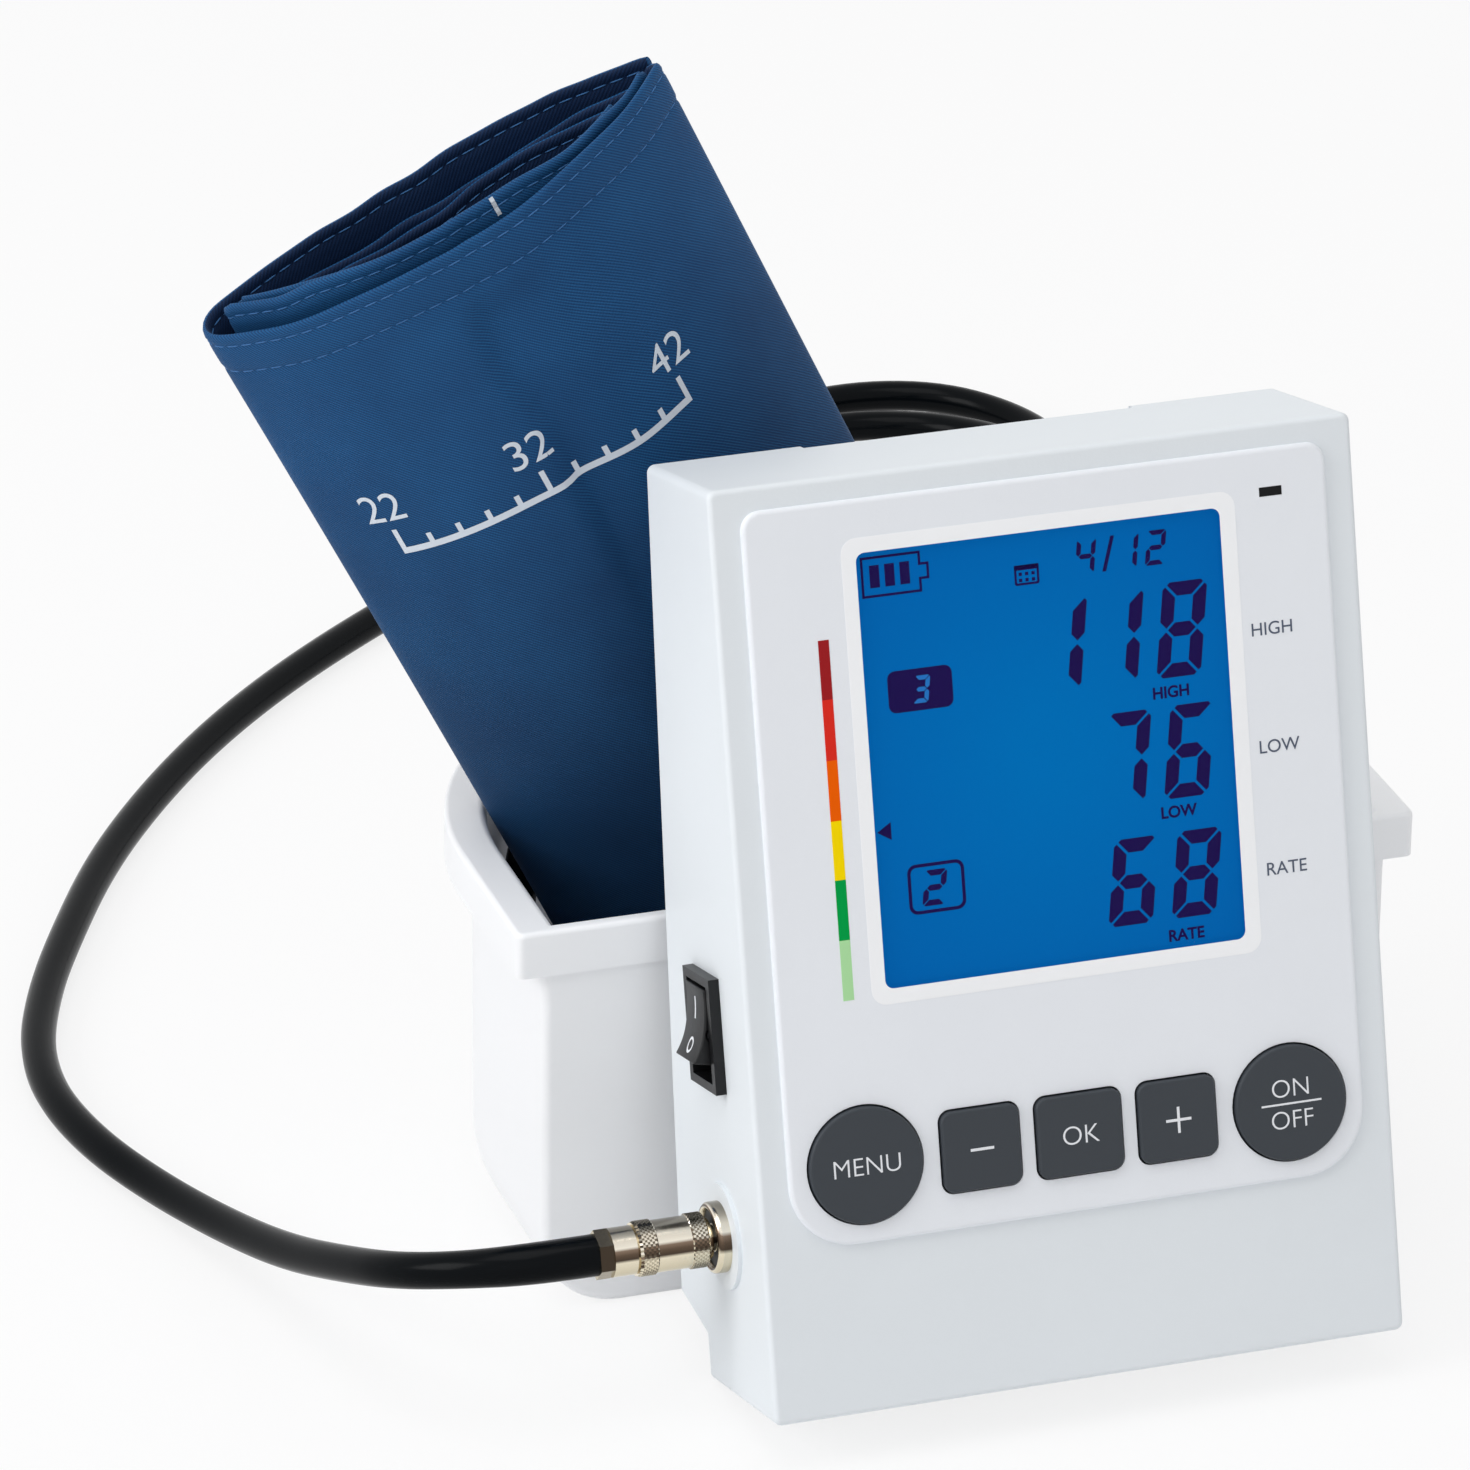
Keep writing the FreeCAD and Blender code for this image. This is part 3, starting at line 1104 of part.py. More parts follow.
cuff.Shape = roll_face.extrude(FreeCAD.Vector(0, 0, value("cuff_height")))
keep("cuff_band", cuff, CUFF_POSE)

# Cuff port: an elbow welded to the band's lower edge under the front bulge, its arm pointing at the hose

front_arc = Part.Arc(*roll_path(0)[2]).toShape()
port_share = 0.75
port_heading_shares = (-0.75, -0.55, -0.37)
port_root = front_arc.valueAt(front_arc.FirstParameter + port_share * front_arc.ParameterRange[1]
                              - port_share * front_arc.ParameterRange[0]) + roll_shift
arm_heading = FreeCAD.Vector(*port_heading_shares).normalize()
port_bend = CUFF_POSE.multVec(port_root - FreeCAD.Vector(0, 0, value("port_stem_length")))
port_stem = bar("port_stem", "port_radius", "port_stem_length")
port_stem.Placement = FreeCAD.Placement(port_bend, CUFF_POSE.Rotation)
port_arm = bar("port_arm", "port_radius", "port_arm_length")
port_arm.Placement = FreeCAD.Placement(port_bend, FreeCAD.Rotation(FreeCAD.Vector(0, 0, 1), arm_heading))
port_knee = doc.addObject("Part::Sphere", "port_knee")
port_knee.setExpression("Radius", bound("port_radius"))
port_knee.Placement.Base = port_bend
keep("cuff_port", join("cuff_port", [port_stem, port_arm, port_knee]), BASKET_POSE)

# Hose: one black rubber tube from the coupler over the table, through a coil, over the rim to the cuff's port

hose_start = MONITOR_POSE.multVec(vector((NUT_END,) + AXIS_AT))
hose_end = port_bend + arm_heading * value("port_arm_length")
hose_first = hose_start - FreeCAD.Vector(value("hose_exit"), 0, 0)
hose_last = hose_end + arm_heading * value("hose_exit")
HOSE_POINTS = [
    (-107.8, -84.5, 31.3), (-116.8, -74.5, 27.4), (-121.7, -57.4, 20.7), (-126.5, -36.5, 13),
    (-131.5, -13, 7), (-138, 11, 3.5), (-145, 32, 3.5), (-148, 54, 3.5), (-145.5, 75, 3.5),
    (-138, 97, 3.5), (-129, 117, 3.5), (-114, 147, 3.5), (-96.5, 174, 3.5), (-77, 199, 3.5),
    (-55, 222, 3.5), (-29, 244.5, 3.5), (5, 270, 3.5), (40, 295.5, 3.5), (74, 319, 3.5),
    (103, 331, 3.5), (128, 325.5, 3.5), (142, 305, 3.5), (144, 280, 3.5), (132.5, 258, 3.5),
    (110, 245, 3.5), (85, 245, 3.5), (63, 259, 3.5), (57, 284, 3.5), (73, 305, 3.5),
    (98, 316, 3.5), (121, 309, 3.5), (133.5, 289, 6), (129, 265, 12), (114.5, 245, 17.5),
    (98, 228, 17.5), (84, 208, 11), (74, 186, 5), (66, 162, 3.5), (57, 139, 6),
    (47, 118, 17), (35, 98, 36.5), (22, 82, 58), (8, 69, 78), (-9, 58, 91),
    (-27, 46, 95), (-43, 35, 89), (-56, 25, 76), (-66, 15.5, 60), (-71.5, 1, 46),
    (-70, -15, 35), (-61, -30, 24), (-46, -39.5, 14), (-28, -41.5, 9), (-9, -38.5, 9),
]
route = [hose_start, hose_first] + [FreeCAD.Vector(*point) for point in HOSE_POINTS] + [hose_last, hose_end]
tangent_share = 0.45
hose_edges = []
leg_start = route[0]
tightest = math.inf
for before, corner, after in zip(route, route[1:], route[2:]):
    arriving, leaving = (corner - before), (after - corner)
    reach = tangent_share * min(arriving.Length, leaving.Length)
    arriving.normalize()
    leaving.normalize()
    turn = arriving.getAngle(leaving)
    tightest = min(tightest, reach / math.tan(turn / 2))
    bend_start, bend_end = corner - arriving * reach, corner + leaving * reach
    inward = (leaving - arriving).normalize()
    bend_middle = corner + inward * (reach * (1 / math.cos(turn / 2) - 1) / math.tan(turn / 2))
    hose_edges.append(Part.LineSegment(leg_start, bend_start).toShape())
    hose_edges.append(Part.Arc(bend_start, bend_middle, bend_end).toShape())
    leg_start = bend_end
hose_edges.append(Part.LineSegment(leg_start, route[-1]).toShape())
hose_path = Part.Wire(hose_edges)
hose_ring = Part.Circle(hose_start, FreeCAD.Vector(1, 0, 0), value("hose_radius")).toShape()
hose = doc.addObject("Part::Feature", "hose")
hose.Shape = hose_path.makePipeShell([Part.Wire([hose_ring])], True, False)
keep("hose", hose, BASKET_POSE)


def least_gap(line, thickness, skip):
    """Least distance between surfaces of stretches of a line that lie further along it than a skip."""
    step = value("overrun")
    points = line.discretize(Distance=step)
    start = math.ceil(skip / step)
    apart = min(points[first].distanceToPoint(point)
                for first in range(len(points) - start)
                for point in points[first + start:])
    return apart - thickness


roll_line = Part.Wire([Part.Arc(*arc).toShape() for arc in roll_path(0)])
print("hose length", hose_path.Length, "tightest bend", tightest)
print("hose's least gap to itself", least_gap(hose_path, value("2*hose_radius"), value("fold_offset")))
print("roll's least gap to itself", least_gap(roll_line, value("band_thickness"), value("fold_offset")))

# Final poses, checks and one file for each node

doc.recompute()
for label, piece, pose in NODES:
    piece.Placement = pose * piece.Placement
for item in doc.Objects:
    if {"Invalid", "Error"} & set(item.State):
        raise RuntimeError(f"{item.Name} did not compute: {item.State}")
os.makedirs("parts", exist_ok=True)
for label, piece, pose in NODES:
    if piece.Shape.isNull() or not piece.Shape.isValid() or piece.Shape.Volume <= 0:
        raise RuntimeError(f"{label} has no valid solid")
    piece.Shape.exportStep(f"parts/{label}.step")
    print(label, len(piece.Shape.Solids), round(piece.Shape.Volume))
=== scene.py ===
"""Desk blood pressure monitor with its cuff basket, rolled arm cuff and air hose: the finished look."""

import math

import bmesh
import bpy
from mathutils import Matrix, Vector


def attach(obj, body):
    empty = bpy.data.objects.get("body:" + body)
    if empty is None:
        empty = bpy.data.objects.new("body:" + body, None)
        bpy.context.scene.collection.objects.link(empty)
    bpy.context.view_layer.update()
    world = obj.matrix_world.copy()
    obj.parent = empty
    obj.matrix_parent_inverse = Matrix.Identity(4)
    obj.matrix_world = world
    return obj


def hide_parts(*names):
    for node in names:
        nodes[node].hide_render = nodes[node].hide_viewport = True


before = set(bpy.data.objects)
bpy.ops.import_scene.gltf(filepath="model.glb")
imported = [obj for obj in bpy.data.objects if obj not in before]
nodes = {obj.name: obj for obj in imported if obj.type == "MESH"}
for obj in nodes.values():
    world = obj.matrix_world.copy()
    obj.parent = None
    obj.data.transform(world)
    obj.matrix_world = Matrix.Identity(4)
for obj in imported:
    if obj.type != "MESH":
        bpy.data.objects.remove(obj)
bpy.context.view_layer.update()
scene = bpy.context.scene

# Table, studio light and camera.
# A wide matt white table under soft light from the upper left, seen from the front left and a little above.

scene.view_settings.view_transform = "Standard"


def srgb(red, green, blue):
    """Linear colour of the usual 0 to 255 values."""
    def linear(part):
        part = part / 255
        return part / 12.92 if part <= 0.04045 else ((part + 0.055) / 1.055) ** 2.4
    return (linear(red), linear(green), linear(blue), 1.0)


def new_piece(name, data):
    """Object in the scene from its data."""
    piece = bpy.data.objects.new(name, data)
    scene.collection.objects.link(piece)
    return piece


def empty_material(name):
    """New material with its nodes and links."""
    material = bpy.data.materials.new(name)
    material.use_nodes = True
    return material, material.node_tree.nodes, material.node_tree.links


def set_inputs(node, **amounts):
    """Plain values on a node's sockets, with low lines for the spaces in their names."""
    for socket, amount in amounts.items():
        node.inputs[socket.replace("_", " ")].default_value = amount


def math_step(tree, operation, *sources):
    """Result of a math node on plain values and other results."""
    node = tree.nodes.new("ShaderNodeMath")
    node.operation = operation
    for socket, source in zip(node.inputs, sources):
        if isinstance(source, (int, float)):
            socket.default_value = source
        else:
            tree.links.new(source, socket)
    return node.outputs[0]


def bright_rays(tree):
    """Rays that see plain white: straight, through clear pieces or mirrored."""
    ray_kind = tree.nodes.new("ShaderNodeLightPath").outputs
    straight = math_step(tree, "MAXIMUM", ray_kind["Is Camera Ray"], ray_kind["Is Transmission Ray"])
    return math_step(tree, "MAXIMUM", straight, ray_kind["Is Glossy Ray"])


table_half, table_white_share, room_light = 3.0, 0.8, 0.56
table_mesh = bpy.data.meshes.new("table_top")
table_mesh.from_pydata([(-table_half, -table_half, 0), (table_half, -table_half, 0),
                        (table_half, table_half, 0), (-table_half, table_half, 0)], [], [(0, 1, 2, 3)])
table = new_piece("table_top", table_mesh)
material, mat_nodes, links = empty_material("table_white")
table_shader = mat_nodes["Principled BSDF"]
set_inputs(table_shader, Base_Color=srgb(244, 244, 245), Roughness=0.7, Specular_IOR_Level=0.2)
lit_white = mat_nodes.new("ShaderNodeEmission")
set_inputs(lit_white, Color=(1, 1, 1, 1), Strength=1.0)
table_mix = mat_nodes.new("ShaderNodeMixShader")
white_share = math_step(material.node_tree, "MULTIPLY", bright_rays(material.node_tree), table_white_share)
links.new(white_share, table_mix.inputs[0])
links.new(table_shader.outputs[0], table_mix.inputs[1])
links.new(lit_white.outputs[0], table_mix.inputs[2])
links.new(table_mix.outputs[0], mat_nodes["Material Output"].inputs["Surface"])
table_mesh.materials.append(material)

world = bpy.data.worlds.new("studio")
scene.world = world
world.use_nodes = True
sky = world.node_tree.nodes["Background"]
set_inputs(sky, Color=(1, 1, 1, 1))
world_level = world.node_tree.nodes.new("ShaderNodeMapRange")
set_inputs(world_level, To_Min=room_light, To_Max=1.0)
world.node_tree.links.new(bright_rays(world.node_tree), world_level.inputs["Value"])
world.node_tree.links.new(world_level.outputs["Result"], sky.inputs["Strength"])


def soft_lamp(name, place, width, watts):
    """Square lamp pointed at the object's middle."""
    lamp_data = bpy.data.lights.new(name, "AREA")
    lamp_data.size = width
    lamp_data.energy = watts
    lamp = new_piece(name, lamp_data)
    lamp.location = place
    lamp.rotation_euler = (Vector(lamp_aim) - Vector(place)).to_track_quat("-Z", "Y").to_euler()


lamp_aim = (0, 0, 0.1)
soft_lamp("key_lamp", (-2.1, -0.2, 1.3), 1.2, 21)
soft_lamp("top_lamp", (-0.4, -0.3, 2.1), 1.4, 12)
soft_lamp("front_lamp", (-0.9, -2.0, 0.9), 1.4, 0.8)

camera_data = bpy.data.cameras.new("photo_camera")
camera_data.lens = 220.41
camera_data.sensor_width = 36
camera_data.sensor_fit = "HORIZONTAL"
camera_data.clip_start = 0.05
camera_data.clip_end = 20
camera = new_piece("photo_camera", camera_data)
camera_right = Vector((0.949151, -0.314662, 0.010021))
camera_down = Vector((-0.125909, -0.408582, -0.903995))
camera_forward = Vector((0.288548, 0.856766, -0.427425))
camera_place = (-0.511105, -1.431408, 0.801479)
camera_turn = Matrix((camera_right, -camera_down, -camera_forward)).transposed()
camera.matrix_world = Matrix.Translation(camera_place) @ camera_turn.to_4x4()
scene.camera = camera

# Housing: front shell, rear cover and battery door of the monitor, and the screws that hold them.
# Satin white moulded plastic with a fine even grain, split along a seam round the sides.


def new_group(name, inputs, outputs):
    """Node group with named sockets, its entry and its end."""
    group = bpy.data.node_groups.new(name, "ShaderNodeTree")
    for way, sockets in (("INPUT", inputs), ("OUTPUT", outputs)):
        for socket, kind in sockets.items():
            group.interface.new_socket(socket, in_out=way, socket_type="NodeSocket" + kind)
    return group, group.nodes.new("NodeGroupInput"), group.nodes.new("NodeGroupOutput")


def grain_group():
    """Fine moulded grain with slow drifts of tone, for plastics and rubber."""
    group, entry, leave = new_group(
        "moulded_grain", {"Colour": "Color", "Roughness": "Float", "Grain": "Float", "Drift": "Float"},
        {"Colour": "Color", "Roughness": "Float", "Height": "Float"})
    made, wire = group.nodes, group.links
    place = made.new("ShaderNodeTexCoord")
    fine = made.new("ShaderNodeTexNoise")
    set_inputs(fine, Detail=3)
    wire.new(place.outputs["Object"], fine.inputs["Vector"])
    wire.new(entry.outputs["Grain"], fine.inputs["Scale"])
    wire.new(fine.outputs["Fac"], leave.inputs["Height"])
    broad = made.new("ShaderNodeTexNoise")
    set_inputs(broad, Scale=28, Detail=4)
    wire.new(place.outputs["Object"], broad.inputs["Vector"])
    centred = math_step(group, "SUBTRACT", broad.outputs["Fac"], 0.5)
    tone = made.new("ShaderNodeHueSaturation")
    wire.new(entry.outputs["Colour"], tone.inputs["Color"])
    wire.new(math_step(group, "MULTIPLY_ADD", centred, entry.outputs["Drift"], 1.0), tone.inputs["Value"])
    wire.new(tone.outputs["Color"], leave.inputs["Colour"])
    rough_drift = math_step(group, "MULTIPLY_ADD", centred, 0.16, entry.outputs["Roughness"])
    wire.new(rough_drift, leave.inputs["Roughness"])
    return group


moulded_grain = grain_group()


def add_relief(material, height, depth, strength):
    """Small relief on a material from a height."""
    mat_nodes, links = material.node_tree.nodes, material.node_tree.links
    relief = mat_nodes.new("ShaderNodeBump")
    set_inputs(relief, Distance=depth, Strength=strength)
    links.new(height, relief.inputs["Height"])
    links.new(relief.outputs["Normal"], mat_nodes["Principled BSDF"].inputs["Normal"])


def moulded(name, colour, roughness, grain=1600, drift=0.04, depth=0.00003, **sockets):
    """Moulded surface: a colour with grain, and further shader sockets as plain values."""
    material, mat_nodes, links = empty_material(name)
    shader = mat_nodes["Principled BSDF"]
    effect = mat_nodes.new("ShaderNodeGroup")
    effect.node_tree = moulded_grain
    set_inputs(effect, Colour=colour, Roughness=roughness, Grain=grain, Drift=drift)
    links.new(effect.outputs["Colour"], shader.inputs["Base Color"])
    links.new(effect.outputs["Roughness"], shader.inputs["Roughness"])
    add_relief(material, effect.outputs["Height"], depth, 0.6)
    set_inputs(shader, **sockets)
    return material


def dress(material, *names):
    """Gives CAD pieces one finish."""
    for name in names:
        mesh = nodes[name].data
        mesh.materials.clear()
        mesh.materials.append(material)


housing_white = moulded("housing_white", srgb(231, 236, 240), 0.5, Specular_IOR_Level=0.2)
dress(housing_white, "front_shell", "rear_cover", "battery_door")
screw_steel = moulded("screw_steel", srgb(170, 172, 175), 0.32, grain=900, Metallic=1.0)
dress(screw_steel, "case_screws", "board_screws", "bracket_screws", "bracket_bolts", "switch_terminals",
      "battery_contacts")

# Main board with its switches, and the air path and cells behind it.
# Green glass-fibre board, black valve and pump head, steel motor, soft clear tubes and wrapped cells.
# All of it is closed in by the housing.

dress(moulded("board_green", srgb(22, 92, 58), 0.45, grain=2500, drift=0.2), "main_board")
inner_black = moulded("inner_black", srgb(22, 23, 25), 0.45, Specular_IOR_Level=0.3)
dress(inner_black, "tact_switches", "pressure_sensor", "release_valve", "pump_head", "dc_jack")
dress(moulded("motor_steel", srgb(160, 162, 165), 0.3, grain=700, Metallic=1.0), "pump_motor", "socket_nut")
dress(moulded("tube_clear", srgb(215, 220, 218), 0.25), "air_tubes")
dress(moulded("manifold_white", srgb(222, 222, 218), 0.45), "air_manifold")
dress(moulded("cell_wrap", srgb(60, 104, 92), 0.35, drift=0.2), "battery_cells")
dress(moulded("tray_grey", srgb(150, 153, 158), 0.5), "lcd_frame", "pump_cradle", "battery_tray")

# Display: crystal glass lit blue from behind, with dark numbers, on a milky light guide.
# A clear acrylic window in the face plate covers it, inside a white border painted lighter than the plate: a painted
# highlight for the light on the window's edge.

monitor_lean = math.radians(15)
monitor_foot = (0, -0.1180798, 0.0121995)
monitor_frame = Matrix.Translation(monitor_foot) @ Matrix.Rotation(-monitor_lean, 4, "X")
face_up = Vector((0, math.sin(monitor_lean), math.cos(monitor_lean)))


def ramp_node(mat_nodes, stops):
    """Colour ramp with a colour at each given place."""
    ramp = mat_nodes.new("ShaderNodeValToRGB")
    elements = ramp.color_ramp.elements
    while len(elements) < len(stops):
        elements.new(0.5)
    for stop, (place, colour) in zip(elements, stops):
        stop.position = place
        stop.color = colour
    return ramp


dress(moulded("light_guide", srgb(225, 235, 245), 0.3), "backlight")
glass_middle, glass_reach = Vector((0.0, 0.0024, 0.1128)), 0.05
glass_tones = [(0.15, srgb(2, 110, 184)), (1.0, srgb(4, 98, 175))]
crystal_blue = moulded("crystal_blue", srgb(8, 60, 130), 0.25, grain=500, drift=0.05, depth=0.000004)
mat_nodes, links = crystal_blue.node_tree.nodes, crystal_blue.node_tree.links
shader = mat_nodes["Principled BSDF"]
glass_place = mat_nodes.new("ShaderNodeTexCoord")
from_middle = mat_nodes.new("ShaderNodeVectorMath")
from_middle.operation = "DISTANCE"
from_middle.inputs[1].default_value = monitor_frame @ glass_middle
links.new(glass_place.outputs["Object"], from_middle.inputs[0])
glass_share = mat_nodes.new("ShaderNodeMapRange")
set_inputs(glass_share, From_Max=glass_reach)
links.new(from_middle.outputs["Value"], glass_share.inputs["Value"])
for socket, strength in (("Base Color", 0.42), ("Emission Color", 1.0)):
    glow = ramp_node(mat_nodes, [(place, (red * strength, green * strength, blue * strength, 1))
                                 for place, (red, green, blue, _) in glass_tones])
    links.new(glass_share.outputs["Result"], glow.inputs["Fac"])
    links.new(glow.outputs["Color"], shader.inputs[socket])
set_inputs(shader, Emission_Strength=0.58, Specular_IOR_Level=0.0)
dress(crystal_blue, "lcd_panel")

window_clear = moulded("window_clear", srgb(60, 90, 130), 0.05, grain=300, drift=0.01, depth=0.000002, Alpha=0.012,
                       Specular_IOR_Level=0.1)
dress(window_clear, "display_window")

print_rise, capital_share = 0.05, 0.69


def mesh_piece(name, bm, *materials, hard_edge=None):
    """Piece of a finished mesh, with normals turned out and edges over a given angle kept hard."""
    bmesh.ops.recalc_face_normals(bm, faces=bm.faces)
    if hard_edge is not None:
        for line in bm.edges:
            line.smooth = line.calc_face_angle(0) < hard_edge
    mesh = bpy.data.meshes.new(name)
    bm.to_mesh(mesh)
    bm.free()
    for material in materials:
        mesh.materials.append(material)
    return new_piece(name, mesh)


def print_piece(name, outlines, depth, material, body, rings=()):
    """Thin printed shapes on the face: whole outlines, and rings between two outlines, in mm across and up."""
    bm = bmesh.new()

    def edge(outline, lift):
        return [bm.verts.new(monitor_frame @ (Vector((x, depth - lift, rise)) / 1000)) for x, rise in outline]

    for outline in outlines:
        front, back = edge(outline, print_rise), edge(outline, 0)
        bm.faces.new(front)
        for a in range(len(front)):
            b = (a + 1) % len(front)
            bm.faces.new((front[a], front[b], back[b], back[a]))
    for outer, inner in rings:
        front_out, front_in = edge(outer, print_rise), edge(inner, print_rise)
        back_out, back_in = edge(outer, 0), edge(inner, 0)
        for a in range(len(outer)):
            b = (a + 1) % len(outer)
            bm.faces.new((front_out[a], front_out[b], front_in[b], front_in[a]))
            bm.faces.new((front_out[a], front_out[b], back_out[b], back_out[a]))
            bm.faces.new((front_in[a], front_in[b], back_in[b], back_in[a]))
    piece = mesh_piece(name, bm, material)
    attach(piece, body)


def face_words(name, words, x, rise, height, depth, material, body, weight=0.0):
    """Flat lettering on the face, centred at a place, with capitals of a given height in mm."""
    data = bpy.data.curves.new(name, "FONT")
    data.body = words
    data.size = height / 1000 / capital_share
    data.align_x = "CENTER"
    data.extrude = print_rise / 2000
    data.offset = weight / 1000
    data.materials.append(material)
    piece = new_piece(name, data)
    spot = Vector((x, depth - print_rise / 2, rise - height / 2)) / 1000
    piece.matrix_world = monitor_frame @ Matrix.Translation(spot) @ Matrix.Rotation(math.pi / 2, 4, "X")
    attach(piece, body)


def round_box(left, low, right, high, radius):
    """Outline of a box with round corners."""
    outline = []
    for x, rise, start in ((right - radius, high - radius, 0), (left + radius, high - radius, 90),
                           (left + radius, low + radius, 180), (right - radius, low + radius, 270)):
        for turn in range(0, 91, 18):
            angle = math.radians(start + turn)
            outline.append((x + radius * math.cos(angle), rise + radius * math.sin(angle)))
    return outline


def digit_bars(digit, left, low, width, height, stroke):
    """Slanted seven-bar digit: the outlines of its lit bars."""
    mid, half = height / 2, stroke / 2
    slant, gap = 0.14, 0.3 * stroke / 2.3
    tip, cut = (half + gap) / 2, (half - gap) / 2
    bars = {
        "top": [(half, height), (width - half, height), (width - tip, height - cut),
                (width - stroke - gap, height - stroke), (stroke + gap, height - stroke), (tip, height - cut)],
        "middle": [(half + gap, mid), (stroke + gap, mid + half), (width - stroke - gap, mid + half),
                   (width - half - gap, mid), (width - stroke - gap, mid - half), (stroke + gap, mid - half)],
        "left_high": [(0, height - half), (cut, height - tip), (stroke, height - stroke - gap),
                      (stroke, mid + half + gap), (half, mid + gap), (0, mid + half + gap)],
    }
    bars["base"] = [(x, height - rise) for x, rise in bars["top"]]
    bars["left_low"] = [(x, height - rise) for x, rise in bars["left_high"]]
    for side in ("high", "low"):
        bars["right_" + side] = [(width - x, rise) for x, rise in bars["left_" + side]]
    sides = ["left_high", "left_low", "right_high", "right_low"]
    lit = {"1": sides[2:], "2": ["top", "right_high", "middle", "left_low", "base"],
           "3": ["top", "middle", "base"] + sides[2:],
           "4": ["left_high", "middle"] + sides[2:], "6": ["top", "middle", "base"] + sides[:2] + sides[3:],
           "7": ["top"] + sides[2:], "8": ["top", "middle", "base"] + sides}
    return [[(left + x + slant * rise, low + rise) for x, rise in bars[bar]] for bar in lit[digit]]


def block(left, low, right, high):
    """Outline of a plain box."""
    return [(left, low), (right, low), (right, high), (left, high)]


film_face, mark_face, box_number_face, border_face = -0.02, -0.07, -0.115, -1.0
film = round_box(-34.6, 73.0, 34.6, 152.3, 1.6)
print_piece("display_film", [film], film_face, crystal_blue, "unit")
# The border's white is lighter than the plate's: a painted highlight for the light on the window's edge.
border_painted_light = moulded("border_painted_light", srgb(251, 252, 254), 0.4, Specular_IOR_Level=0.25)
border = (round_box(-36.8, 71.0, 36.8, 154.6, 2.8), round_box(-34.14, 73.74, 33.86, 151.84, 1.6))
print_piece("window_border", [], border_face, border_painted_light, "unit", [border])
mark_navy = moulded("mark_navy", srgb(30, 14, 78), 0.5, grain=900, drift=0.08, depth=0.000002,
                    Specular_IOR_Level=0.05)
marks = []
for number, lefts, low, width, height, stroke in (
        ("118", (-2.25, 8.4, 20.4), 122.4, 8.4, 17.0, 2.5), ("76", (8.4, 20.4), 100.6, 8.4, 16.7, 2.5),
        ("68", (8.4, 20.4), 78.9, 8.4, 15.6, 2.5), ("412", (6.4, 14.4, 19.6), 142.9, 3.6, 6.2, 0.85)):
    for digit, left in zip(number, lefts):
        marks += digit_bars(digit, left, low, width, height, stroke)
date_stroke = [(11.6, 142.9), (12.3, 142.9), (14.2, 149.1), (13.5, 149.1)]
battery_bars = [block(left, 145.2, left + 1.8, 149.2) for left in (-31.5, -28.7, -25.9)]
calendar_head = block(-4.8, 145.0, -0.2, 145.9)
calendar_days = [block(left, low, left + 0.6, low + 0.6) for left in (-4.0, -2.8, -1.6) for low in (142.9, 144.0)]
strip_pointer = [(-33.4, 101.7), (-30.8, 100.1), (-30.8, 103.3)]
number_box = round_box(-29.6, 122.5, -17.6, 130.0, 1.4)
marks += [date_stroke, *battery_bars, calendar_head, *calendar_days, strip_pointer, number_box]
battery_ring = ([(-33.1, 143.5), (-22.0, 143.5), (-22.0, 145.7), (-20.5, 145.7), (-20.5, 148.7), (-22.0, 148.7),
                 (-22.0, 150.8), (-33.1, 150.8)],
                [(-32.65, 143.95), (-22.45, 143.95), (-22.45, 146.15), (-20.95, 146.15), (-20.95, 148.25),
                 (-22.45, 148.25), (-22.45, 150.35), (-32.65, 150.35)])
calendar_ring = (round_box(-4.8, 142.3, -0.2, 145.9, 0.4), round_box(-4.4, 142.7, -0.6, 145.2, 0.2))
number_ring = (round_box(-28.4, 86.1, -17.8, 95.1, 1.6), round_box(-27.8, 86.7, -18.4, 94.5, 1.1))
print_piece("display_marks", marks, mark_face, mark_navy, "unit",
            [battery_ring, calendar_ring, number_ring])
mark_blue = moulded("mark_blue", srgb(40, 120, 200), 0.5, grain=900, drift=0.05, depth=0.000002,
                    Specular_IOR_Level=0.05)
box_number = digit_bars("3", -25.2, 123.8, 2.9, 4.9, 0.8)
ring_number = digit_bars("2", -26.0, 87.4, 4.2, 6.4, 1.05)
print_piece("display_box_number", box_number, box_number_face, mark_blue, "unit")
print_piece("display_ring_number", ring_number, mark_face, mark_navy, "unit")
for name, words, rise in (("caption_high", "HIGH", 119.9), ("caption_low", "LOW", 98.25),
                          ("caption_rate", "RATE", 75.9)):
    face_words(name, words, 23.0, rise, 2.0, mark_face, mark_navy, "unit", weight=0.08)

# Face plate: a thin white plate glued into the front shell, printed beside the display.
# A strip of six colours stands on the left and three words on the right.

plate_white = moulded("plate_white", srgb(238, 241, 246), 0.45, Specular_IOR_Level=0.25)
dress(plate_white, "face_plate")
plate_face = -1.0
scale_strip = moulded("scale_strip", srgb(200, 60, 50), 0.6, Specular_IOR_Level=0.03)
mat_nodes, links = scale_strip.node_tree.nodes, scale_strip.node_tree.links
strip_place = mat_nodes.new("ShaderNodeTexCoord")
strip_up = mat_nodes.new("ShaderNodeVectorMath")
strip_up.operation = "DOT_PRODUCT"
strip_up.inputs[1].default_value = face_up
links.new(strip_place.outputs["Object"], strip_up.inputs[0])
strip_low, strip_high, strip_left, strip_right = 72.7, 137.3, -42.1, -40.1
strip_share = mat_nodes.new("ShaderNodeMapRange")
set_inputs(strip_share, From_Min=(monitor_frame @ Vector((0, 0, strip_low / 1000))).dot(face_up),
           From_Max=(monitor_frame @ Vector((0, 0, strip_high / 1000))).dot(face_up))
links.new(strip_up.outputs["Value"], strip_share.inputs["Value"])
strip_list = [srgb(176, 226, 166), srgb(4, 160, 72), srgb(255, 222, 4), srgb(244, 98, 4), srgb(224, 48, 36),
              srgb(160, 34, 38)]
